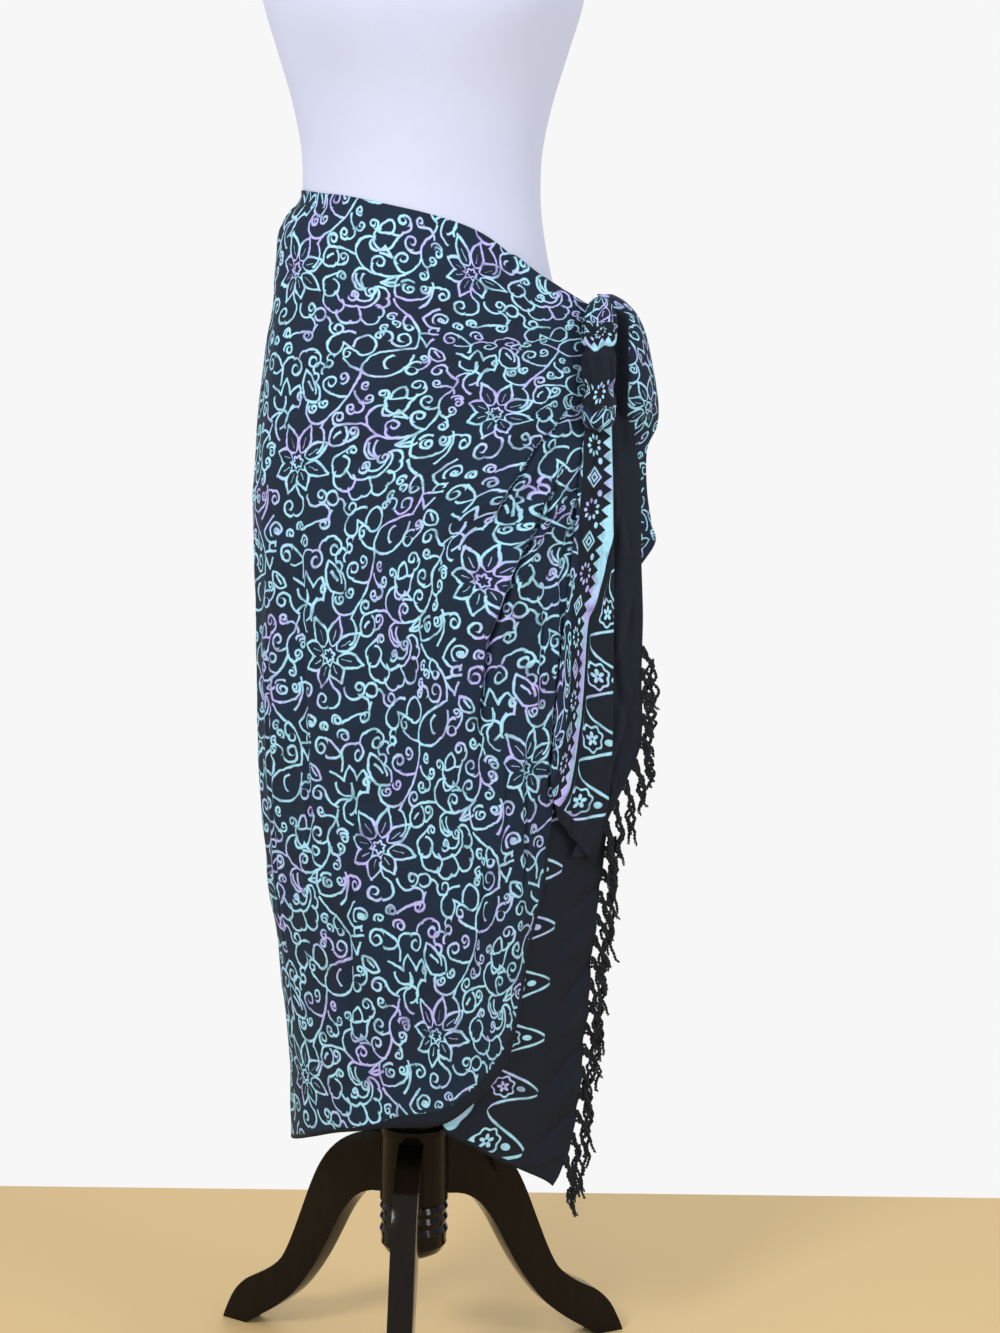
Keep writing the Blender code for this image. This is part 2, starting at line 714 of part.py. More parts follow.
def turned(name, rows, finish, segments=24):
    shape = bmesh.new()
    ring = [shape.verts.new((row.radius * MM, 0, row.height * MM)) for row in rows]
    for a, b in zip(ring, ring[1:]):
        shape.edges.new((a, b))
    made = keep(name, mesh_from(shape, name), finish)
    screw = made.modifiers.new("turn", "SCREW")
    screw.steps = screw.render_steps = segments
    screw.use_merge_vertices = True
    screw.merge_threshold = 1e-5
    return made


def smooth_outline(rows, between=3):
    points = []
    for k in range((len(rows) - 1) * between + 1):
        place = k / between
        points.append((along_rows(rows, "reach", place) * MM, along_rows(rows, "height", place) * MM))
    return points


def leg(name, heading, cutter, finish):
    """A sawn board, S-shaped, standing on edge against the hub, with its edges rounded over."""
    top = smooth_outline(LEG_TOP_EDGE, 1)
    under = smooth_outline(LEG_UNDER_EDGE, 1)
    curve = bpy.data.curves.new(name, "CURVE")
    curve.dimensions = "2D"
    curve.fill_mode = "BOTH"
    curve.extrude = LEG_BOARD / 2 * MM
    line = curve.splines.new("POLY")
    line.use_cyclic_u = True
    outline = top + under
    line.points.add(len(outline) - 1)
    for point, (reach, height) in zip(line.points, outline):
        point.co = (reach, height, 0, 1)
    flat = bpy.data.objects.new(name + "_outline", curve)
    BODY.objects.link(flat)
    bpy.context.view_layer.update()
    mesh = bpy.data.meshes.new_from_object(flat.evaluated_get(bpy.context.evaluated_depsgraph_get()))
    bpy.data.objects.remove(flat)
    shape = bmesh.new()
    shape.from_mesh(mesh)
    bpy.data.meshes.remove(mesh)
    bmesh.ops.remove_doubles(shape, verts=shape.verts, dist=1e-6)
    bmesh.ops.dissolve_limit(shape, angle_limit=radians(1), verts=shape.verts, edges=shape.edges)
    upright = Matrix.Rotation(pi / 2, 4, "X")
    facing = Matrix.Rotation(heading, 4, "Z")
    bmesh.ops.transform(shape, matrix=facing @ upright, verts=shape.verts)
    bmesh.ops.recalc_face_normals(shape, faces=shape.faces)
    board = keep(name, mesh_from(shape, name), finish)
    rounding = board.modifiers.new("rounded edges", "BEVEL")
    rounding.width = LEG_ROUND * MM
    rounding.segments = 2
    rounding.limit_method = "ANGLE"
    rounding.angle_limit = radians(60)
    cut = board.modifiers.new("hub", "BOOLEAN")
    cut.operation = "DIFFERENCE"
    cut.object = cutter
    return board


def cutter_cylinder(name, radius, low, high):
    shape = bmesh.new()
    bmesh.ops.create_cone(
        shape, cap_ends=True, segments=64, radius1=radius, radius2=radius, depth=high - low
    )
    made = bpy.data.objects.new(name, mesh_from(shape, name))
    made.location.z = (low + high) / 2
    made.hide_render = True
    made.display_type = "WIRE"
    TOOLS.objects.link(made)
    return made


def build_stand(lacquer, steel):
    turned("stand_column", COLUMN, lacquer, 28)
    pole_top = FORM_RINGS[0].height - 12.3
    pole_low = COLUMN[0].height + JOINT_GAP / MM
    pole = (
        Turning(pole_top, 0),
        Turning(pole_top, POLE_RADIUS),
        Turning(pole_low, POLE_RADIUS),
        Turning(pole_low, 0),
    )
    turned("stand_pole", pole, steel, 24)
    base_top = FORM_RINGS[0].height - JOINT_GAP / MM
    board = (
        Turning(base_top, 0),
        Turning(base_top, 90),
        Turning(base_top - 1.5, 92),
        Turning(base_top - 10.2, 92),
        Turning(base_top - 11.7, 90),
        Turning(base_top - 11.7, 0),
    )
    turned("form_base_board", board, lacquer, 36)
    hub = cutter_cylinder("hub_cutter", (HUB_RADIUS + JOINT_GAP / MM) * MM, 0.10, 0.30)
    for name, turn in (("front", 0), ("right", 120), ("left", 240)):
        leg("stand_leg_" + name, radians(turn - 90) - TRIPOD_TURN, hub, lacquer)


def build_neck_cap(lacquer):
    low = FORM_RINGS[-1].height + JOINT_GAP / MM
    rows = (
        Turning(low + 41, 0),
        Turning(low + 40, 7),
        Turning(low + 36, 11),
        Turning(low + 30, 12),
        Turning(low + 24, 9),
        Turning(low + 18, 7),
        Turning(low + 14, 12),
        Turning(low + 11, 40),
        Turning(low + 8, 49),
        Turning(low + 4, 51),
        Turning(low, 50),
        Turning(low, 0),
    )
    cap = turned("form_neck_cap", rows, lacquer)
    cap.location.y = -NECK_LEAN


def build_form(jersey):
    torso(jersey)


def build_sarong(print_cloth, plain_cloth):
    cloth_sheet("sarong_wrap", wrap_point, 76, 19, print_cloth)
    cloth_sheet("sarong_inner_end", inner_end_point, 12, INNER_ROWS, plain_cloth)
    cloth_sheet("sarong_outer_end", outer_end_point, 32, OUTER_ROWS, print_cloth, 1.2 * MM)
    knot(print_cloth)
    cloth_sheet("sarong_knot_loop", knot_loop_point, 8, 16, print_cloth)
    build_fringes(plain_cloth)


def centre_on_floor():
    """One empty carries every piece, moved so that the whole stands centred on the floor."""
    bpy.context.view_layer.update()
    graph = bpy.context.evaluated_depsgraph_get()
    low, high = Vector((9, 9, 9)), Vector((-9, -9, -9))
    for item in BODY.objects:
        solid = item.evaluated_get(graph)
        for vertex in solid.to_mesh().vertices:
            spot = item.matrix_world @ vertex.co
            low = Vector(map(min, low, spot))
            high = Vector(map(max, high, spot))
        solid.to_mesh_clear()
    carrier = bpy.data.objects.new("carrier", None)
    bpy.context.scene.collection.objects.link(carrier)
    for item in [*BODY.objects, *TOOLS.objects]:
        item.parent = carrier
    carrier.location = (-(low.x + high.x) / 2, -(low.y + high.y) / 2, -low.z)
    bpy.context.view_layer.update()


def main():
    clear_scene()
    jersey = material("white cotton jersey", (0.84, 0.84, 0.90), 0.85)
    lacquer = material("black lacquered wood", (0.012, 0.010, 0.009), 0.12, coat=0.6)
    steel = material("steel tube", (0.55, 0.55, 0.56), 0.3, metallic=1.0)
    print_cloth = material("batik printed rayon", (0.035, 0.05, 0.085), 0.75)
    plain_cloth = material("plain dyed rayon", (0.012, 0.016, 0.026), 0.75)
    build_stand(lacquer, steel)
    build_form(jersey)
    build_neck_cap(lacquer)
    build_sarong(print_cloth, plain_cloth)
    centre_on_floor()


main()
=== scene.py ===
"""The looks of a batik sarong tied round a limbless dress form on a turned tripod stand.

Every piece is placed from the same sizes as its solid. Distances are measured from the stand's
pole, in metres unless a table says millimetres; +Z is up and the front faces -Y. Angles run from
0 at the form's left hip, over the back at 90 and the form's right hip at 180, to the front at 270
degrees. A piece of cloth is laid by u, from 0 to 1 across it, and v, from 0 to 1 down it.
"""

from collections import namedtuple
from functools import lru_cache, partial
from math import atan2, cos, degrees, exp, hypot, pi, radians, sin, sqrt, tanh, tau
from random import Random

import bmesh
import bpy
from mathutils import Matrix, Vector, noise


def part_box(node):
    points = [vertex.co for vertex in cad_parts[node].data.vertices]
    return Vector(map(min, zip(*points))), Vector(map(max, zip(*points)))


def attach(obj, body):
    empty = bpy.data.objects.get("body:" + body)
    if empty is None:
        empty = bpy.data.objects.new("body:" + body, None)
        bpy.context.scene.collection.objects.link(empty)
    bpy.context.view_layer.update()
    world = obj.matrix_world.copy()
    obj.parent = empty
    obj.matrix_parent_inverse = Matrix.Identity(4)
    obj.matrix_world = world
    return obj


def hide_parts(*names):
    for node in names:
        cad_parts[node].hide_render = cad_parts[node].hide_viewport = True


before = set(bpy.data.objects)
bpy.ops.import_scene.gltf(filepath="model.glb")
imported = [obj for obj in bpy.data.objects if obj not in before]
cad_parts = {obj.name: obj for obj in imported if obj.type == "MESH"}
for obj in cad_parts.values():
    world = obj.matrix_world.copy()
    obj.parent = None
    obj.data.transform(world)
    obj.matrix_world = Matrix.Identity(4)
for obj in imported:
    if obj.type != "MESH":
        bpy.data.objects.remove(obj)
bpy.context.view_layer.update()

MM = 0.001
pole_low, pole_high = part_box("stand_pole")
POLE = Vector(((pole_low.x + pole_high.x) / 2, (pole_low.y + pole_high.y) / 2, 0))


def table(kind, rows):
    """Plain rows as rows with named columns."""
    return tuple(kind(*row) for row in rows)


# ---------------------------------------------------------------- driving sizes
CLOTH_WALL = 1.5 * MM  # the solid's thickness: one layer of cloth with its fall and stiffness
FINE_WALL = 0.7 * MM  # the thickness that is seen
SEAT_GAP = 0.8 * MM  # between cloth and what it rests on, and between neighbours
JOINT_GAP = 0.3  # between hard pieces that touch, in mm
FLAP_DEGREES = 312  # where the hanging ends leave the round of the skirt
FLAP_ANGLE = radians(FLAP_DEGREES)
WRAP_START, WRAP_SIDE = radians(-42), radians(196)  # the wrap's hidden start, and the form's right hip
INNER_LIFT, OUTER_LIFT = 0.8 * MM, 7.6 * MM  # the two hanging ends, out from the skirt's round
FRONT_LIFT = 4.0 * MM  # how far the front panel lies over the rest
START_DROP = 3.0 * MM  # and the hidden start under it
SNUG = 12.0 * MM  # how far the top edge draws in, until it lies on the form
SNUG_SHARE = 0.05  # of the wrap's drop, over which it does
END_SHARE = 0.10  # of the wrap's columns that lie past the flap angle
SIDE_SHARE = 0.38  # of them that lie before the form's right hip
END_SPREAD = 30  # degrees that the edge tables run on past the flap angle
END_RISE = 45  # mm that the hem climbs there
FLAP_GIRTH = 0.86  # the straight run's girth against the round's half width
CREASE_GIRTH = 150 * MM  # turns an angle into a distance when creases are measured
HIP_HEIGHT = 0.85  # where the girth of the cloth is measured
TOP_EDGE = 1.31  # the cloth's highest edge, from which its flat height is measured
WRAP_COLUMNS, WRAP_ROWS = ((310, 156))

# The form's rings, in mm: half width each side, and depth before and behind the pole's axis.
Ring = namedtuple("Ring", "height half_width front back")
FORM_RINGS = table(Ring, (
    (986, 150, 98, 120), (1000, 162, 108, 131), (1048, 167.5, 114, 134), (1108, 163.5, 112, 127),
    (1150, 157, 109, 119), (1195, 147, 105, 108), (1240, 136, 99.5, 98), (1285, 128.5, 94.5, 92.5),
    (1315, 126.5, 92.5, 91), (1355, 128, 95, 94), (1405, 138, 104, 101), (1455, 153, 117, 108),
    (1505, 168, 126, 113), (1555, 176, 121, 117), (1605, 178, 103, 119), (1650, 178, 84, 113),
    (1685, 168, 70, 99), (1710, 135, 62, 82), (1728, 96, 57, 67), (1745, 68, 54, 58), (1770, 57.5, 51, 52),
    (1802, 55.5, 50, 50.5),
))
BUST = {"height": 1500 * MM, "angle": radians(27), "push": 17 * MM, "tall": 62 * MM, "wide": radians(24)}
NECK_LEAN = 9 * MM  # the neck stands a little forward of the pole

# The skirt's outline where the cloth hangs round the hips, in mm.
Girth = namedtuple("Girth", "height left right front back")
SKIRT = table(Girth, (
    (1330, 129, 129, 96.5, 96), (1310, 133.5, 130, 97, 96.5), (1285, 149, 134, 99.5, 99),
    (1240, 154, 144.5, 105.5, 105), (1195, 158, 156, 111.5, 115), (1150, 166, 165, 116, 126),
    (1108, 170.5, 170.5, 119, 134), (1048, 174.5, 174.5, 121.5, 140.5), (980, 177.5, 177, 123, 142),
    (917, 176, 175.5, 124, 142), (838, 174.5, 174, 125.5, 141.5), (757, 172.5, 171.5, 127.5, 141),
    (675, 169.5, 168.5, 129.5, 140.5), (593, 164.5, 164, 131.5, 140), (540, 160, 160, 133, 140),
    (489, 152, 151.5, 134.5, 139.5), (429, 146, 146, 136, 139), (362, 140, 140, 138, 138.5),
    (308, 137.5, 137.5, 139.5, 138), (250, 136, 136, 141, 138),
))

# The cloth's upper and lower edge round the body, as angle in degrees and heights in mm.
Edge = namedtuple("Edge", "angle top hem")
EDGES = table(Edge, (
    (-45, 1188, 292), (0, 1200, 270), (45, 1236, 262), (90, 1274, 268), (140, 1302, 266), (180, 1311, 270),
    (200, 1310, 282), (220, 1306, 299), (238, 1302, 314), (262, 1291, 326), (284, 1278, 331),
    (297, 1267, 349), (307, 1254, 368), (315, 1240, 392), (322, 1225, 424), (345, 1190, 440),
))

# Where the front panel ends on the form's left, as distance from the pole's axis, in mm.
Side = namedtuple("Side", "height across")
PANEL_END = table(Side, (
    (1215, 176), (1100, 177), (1050, 174), (1000, 170), (829, 160), (679, 146), (622, 142), (592, 139.5),
    (558, 134), (505, 122.5), (465, 117), (425, 110),
))

# Ridges (+) and troughs (-) drawn by the knot and by the cloth's own weight: from one point of
# the skirt to another, as angle in degrees and height in mm, with depth and half breadth in mm.
Crease = namedtuple("Crease", "angle height to_angle to_height depth breadth")
CREASES = table(Crease, (
    (338, 1140, 290, 1085, 3.4, 26), (338, 1075, 306, 930, 4.6, 24), (326, 1010, 300, 820, 7.0, 20),
    (300, 820, 302, 520, 4.6, 18), (291, 900, 294, 560, -3.2, 18), (317, 900, 314, 500, 4.6, 16),
    (228, 1010, 226, 480, -3.6, 22), (244, 900, 240, 330, 3.0, 24), (262, 760, 268, 340, -3.2, 22),
    (204, 1180, 207, 640, 3.0, 18), (170, 1200, 166, 420, -3.2, 22), (148, 900, 150, 240, 4.4, 26),
    (122, 1000, 126, 260, -4.0, 24), (96, 820, 98, 230, 5.0, 26), (70, 960, 74, 250, -4.5, 22),
    (44, 840, 50, 220, 5.5, 22), (24, 1000, 28, 230, -4.5, 18), (2, 1110, 50, 1020, 4.2, 28),
    (0, 1040, 26, 840, 4.6, 22),
))

# The inner end: a flat stretch that hangs from the knot under the front panel.
# Its hidden start and its fringed edge, as distance from the pole's axis, in mm.
Hang = namedtuple("Hang", "height start edge")
INNER_END = table(Hang, (
    (1050, 166, 200), (960, 158, 203), (860, 144, 206), (760, 126, 209), (680, 110, 209), (593, 92, 206),
    (528, 76, 198), (456, 62, 192), (392, 54, 186), (333, 50, 181), (282, 47, 173), (243, 45, 160),
    (230, 45, 151),
))
INNER_HEM = {"start": 322 * MM, "edge": 232 * MM, "curl": 0.75}

# The outer end: pleats that fall from the knot, folded once, with a plain band at the edge.
Fall = namedtuple("Fall", "height left fold edge")
OUTER_END = table(Fall, (
    (1072, 172, 194, 222), (1020, 166, 197, 232), (960, 162, 198, 234), (925, 159, 199, 235),
    (860, 154, 199.5, 238), (800, 149, 200.5, 238), (745, 145, 201.5, 240), (715, 143, 201.5, 237),
    (680, 141, 200.5, 222), (645, 140, 196, 205), (600, 148, 177, 188),
))
OUTER_HEM = (648 * MM, 606 * MM, 600 * MM)  # its heights at the left, the fold and the edge
# Its folds seen from above: share runs 0 at the left, 1 at the fold, 2 at the fringed edge.
Fold = namedtuple("Fold", "share shift lift")
OUTER_FOLDS = table(Fold, (
    (0.0, 0, 2.0), (0.12, 0, 5.0), (0.26, 0, 9.0), (0.38, 0, 5.5), (0.5, 0, 4.8), (0.64, 0, 9.5),
    (0.76, 0, 8.4), (0.88, 0, 9.6), (0.97, 0, 10.6), (1.0, 1.2, 9.0), (1.0, -0.6, 7.2), (1.0, -6.0, 6.4),
    (1.0, -13.0, 6.2), (1.0, -15.0, 4.4), (1.0, -13.0, 2.6), (1.0, -5.0, 2.0), (1.1, 0, 2.2),
    (1.35, 0, 3.6), (1.6, 0, 1.4), (1.8, 0, 3.0), (2.0, 0, 1.6),
))
FOLD_AT = 9 / (len(OUTER_FOLDS) - 1)  # u at the fold
TUCK_AT = 15 / (len(OUTER_FOLDS) - 1)  # and where it opens behind

# The knot and the loop and corner of cloth that stand out past it.
KNOT = {"across": 178.5, "height": 1138, "half_across": 15.5, "half_height": 65, "out": 20.9, "half_out": 15}
KNOT_FLUTES = 7
Loop = namedtuple("Loop", "height left right out bulge")
KNOT_LOOP = table(Loop, (
    (1206, 187, 204, 1, 2), (1198, 189, 220, 1, 9), (1172, 190, 238, 1, 17), (1125, 190, 250, 1, 21),
    (1090, 194, 257, -0.9, 18), (1066, 205, 258, -4.8, 8.5), (1042, 215, 249, -7, 4),
    (1000, 222, 250, -8, 4), (962, 228, 256, -8, 3), (941, 234, 261, -8, 2), (914, 236, 243, -8, 1),
))

# Finer folds, which only the cloth itself shows. Each runs through a few points of the skirt, as
# (angle in degrees, height in mm). depth is in mm, - for a trough; below and above are its half
# breadths on its two sides, in mm. First come those drawn from the knot across the hip, then those
# that hang soft down the front and the form's right, then those over the back and the left.
FineFold = namedtuple("FineFold", "path depth below above")
FINE_FOLDS = table(FineFold, (
    (((334, 1092), (314, 1046), (300, 990), (296, 960)), -14.0, 4, 3.5),
    (((336, 1128), (312, 1078), (292, 1030)), 4.2, 15, 9),
    (((332, 1158), (312, 1152), (290, 1150), (276, 1152)), -9.0, 4.5, 4),
    (((336, 1176), (310, 1182), (286, 1186)), 2.8, 9, 13),
    (((330, 1040), (315, 983), (304, 911), (296, 846), (293.5, 760), (294, 660)), -20.0, 4, 4),
    (((325, 1030), (309, 983), (298, 911), (289, 846), (286, 740)), 4.5, 9, 14),
    (((338, 1014), (320, 975), (308, 929)), -8.0, 3.5, 3.5),
    (((331, 990), (326, 927), (328, 841), (325, 720), (326, 560)), -7.5, 7, 4),
    (((338, 900), (336, 839), (334, 700)), 3.4, 8, 6),
    (((322, 1095), (306, 1069), (290, 1050)), -9.0, 4, 3.5),
    (((310, 840), (309, 700), (312, 520), (316, 450)), 3.6, 10, 7),
    (((288, 1010), (277, 900), (270, 760)), -5.0, 5, 5),
    (((318, 1196), (304, 1212), (286, 1228), (270, 1238)), -5.0, 4.5, 5),
    (((312, 760), (311, 690), (313, 610), (312, 540)), -8.0, 3.5, 3.5),
    (((303, 735), (304, 660), (302, 590)), -7.5, 3.5, 3.5),
    (((319, 900), (317, 820), (318, 740)), -6.0, 3.5, 3.5),
    (((296, 640), (297, 560), (294, 470)), -8.0, 4, 4),
    (((227, 1030), (227, 830), (229, 671), (229, 480)), -6.0, 5, 5),
    (((218, 1120), (214, 900), (217, 620)), 2.0, 10, 14),
    (((252, 800), (248, 600), (243, 350)), -6.0, 5, 5), (((256, 640), (255, 480), (258, 350)), 1.8, 12, 8),
    (((272, 560), (276, 440), (280, 345)), -4.6, 8, 5), (((208, 880), (204, 640), (206, 360)), -5.0, 5, 5),
    (((196, 1240), (206, 1180), (214, 1090)), 1.5, 8, 12),
    (((192, 1020), (188, 760), (190, 420)), 2.4, 9, 13),
    (((176, 1150), (178, 900), (180, 560)), -3.7, 7, 10),
    (((168, 760), (160, 560), (158, 300)), 4.1, 12, 8),
    (((150, 1120), (140, 940), (137, 700)), -4.1, 8, 12),
    (((134, 820), (136, 600), (131, 290)), 5.4, 9, 14),
    (((118, 1230), (112, 1120), (110, 980)), 2.7, 10, 8),
    (((110, 900), (112, 640), (109, 300)), -5.8, 8, 11),
    (((92, 1180), (98, 1000), (90, 860)), -3.4, 10, 8), (((84, 700), (86, 480), (83, 290)), -5.1, 8, 9),
    (((72, 1160), (62, 1040), (58, 860)), 4.4, 8, 13), (((60, 760), (62, 560), (66, 290)), -6.1, 8, 10),
    (((36, 1170), (50, 1080), (66, 1020)), -4.1, 7, 11), (((30, 1100), (44, 980), (52, 820)), 5.1, 8, 10),
    (((36, 740), (38, 520), (36, 290)), -5.4, 7, 10),
    (((12, 1000), (14, 760), (16, 520), (14, 300)), 5.1, 8, 8),
    (((-6, 1120), (-10, 940), (-8, 700)), -3.4, 7, 8),
))
SHOULDER, SHOULDER_BREADTH = 0.9, 2.1  # the soft rise on either side of a trough, as shares of its own
SWALLOW_REACH = 30.0  # mm either side of a trough, over which the cloth it swallows is drawn in
SWALLOWED = 0.45  # of the trough's depth, taken from each side
RUMPLE = ((11.0, 1.5), (26.0, 1.2), (52.0, 0.5))  # waves a metre, and height in mm
LOOSE = 1.7  # how much more the cloth rumples where nothing pulls it

# Folds of the hanging ends: from one point to another, as distance across and height in mm, then
# how far each stands out and half its breadth, in mm.
Slant = namedtuple("Slant", "across height to_across to_height push breadth")
INNER_SLANTS = table(Slant, (
    (206, 900, 176, 862, 3.0, 10), (206, 775, 170, 742, -3.6, 7), (206, 628, 172, 600, 4.0, 9),
    (200, 566, 168, 545, -4.4, 5), (196, 520, 160, 488, 4.6, 7), (192, 480, 158, 436, -5.0, 6),
    (190, 425, 160, 404, 4.0, 6), (186, 392, 150, 352, -4.6, 6), (182, 352, 148, 318, 5.0, 7),
    (178, 314, 140, 284, -4.6, 6), (168, 268, 120, 262, 3.6, 6), (176, 440, 172, 300, 2.4, 8),
))
OUTER_SLANTS = table(Slant, (
    (206, 1010, 222, 930, 3.6, 5), (216, 985, 204, 880, -4.2, 4), (228, 900, 209, 812, 4.2, 5),
    (204, 852, 224, 760, -4.6, 4), (232, 800, 214, 716, 4.0, 5), (206, 756, 212, 668, 3.2, 4),
    (222, 730, 200, 640, -4.2, 4), (208, 660, 190, 612, 3.0, 4),
))

HEM_BAND = 19 * MM  # the plain band that the print's own finish draws along a hem
THIN_BAND = 4 * MM  # what shows of it where the hem is turned in
WIDER_BAND = 11 * MM  # what shows besides along the front panel's lower edge
END_TURN = 1.04  # flat distance on a hanging end, which its pleats take up, against distance across it
# How the border lies beside the outer end's fold: its flat distance from the fringed edge at the fold,
# in mm, then the flat distance taken up per mm across, before and beyond the turn, which is in mm too.
Lay = namedtuple("Lay", "height at_fold near turn far")
BORDER_LAY = table(Lay, (
    (1075, 125, 1.45, 30, 1.45), (1046, 124, 1.45, 30, 1.45), (980, 121, 1.3, 30, 1.3),
    (912, 91, 1.95, 30, 1.95), (889, 79, 2.0, 29, 2.1), (850, 75, 0.95, 25, 3.4), (780, 67, 1.03, 29, 3.6),
    (713, 61, 1.03, 35, 3.2), (650, 55, 1.03, 38, 3.0), (590, 50, 1.0, 38, 3.0),
))

# The fringe, in mm: the distance from lock to lock, and one ply's radius.
LOCK_PITCH = 25.0 * MM
LOCK_CORDS = 4
YARN = 1.05 * MM

# The stand, in mm.
POLE_RADIUS = 12.5
LEG_BOARD = 27.0
LEG_ROUND = 7.0
HUB_FLAT = 35.5  # where a leg's board is cut flat against the column
TRIPOD_TURN = radians(3)
Turning = namedtuple("Turning", "height radius")
COLUMN = table(Turning, (
    (560, 0), (560, 17), (548, 21), (540, 25), (528, 25), (520, 20), (440, 22), (340, 28), (312, 31),
    (306, 36), (297, 39), (289, 36), (286, 39.5), (278, 39.5), (275.5, 38.5), (200, 38.5), (197, 36),
    (191, 38.5), (185, 36), (179, 38.5), (172, 36), (165, 38.8), (157, 36.5), (149, 37), (140, 31),
    (134, 20), (132, 0),
))
Outline = namedtuple("Outline", "reach height")
LEG_TOP_EDGE = table(Outline, (
    (34, 273), (58, 269), (86, 257), (108, 239), (124, 217), (137, 190), (150, 157), (165, 120), (179, 93),
    (196, 77), (213, 66), (233, 54), (250, 36), (262, 13), (267, 0),
))
LEG_UNDER_EDGE = table(Outline, (
    (232, 0), (212, 14), (190, 29), (165, 50), (145, 74), (127, 101), (111, 130), (94, 162), (76, 186),
    (56, 199), (34, 203),
))
BOARD_RADIUS, BOARD_THICK, BOARD_EDGE = 92, 11.7, 1.5
# The neck's cap, from its rim to the tip of its finial.
CAP = (
    (41, 0), (40, 7), (36, 11), (30, 12), (24, 9), (18, 7), (14, 12), (11, 40), (8, 49), (4, 51), (0, 50), (0, 0),
)

# The print, in mm: where the big flower's middle lies on the flat cloth, how far the print's repeat
# runs along and down it, and half the breadth of a line of wax.
PRINT_AT = (676, 288)
CELL = (215, 204)
LINE = 1.2
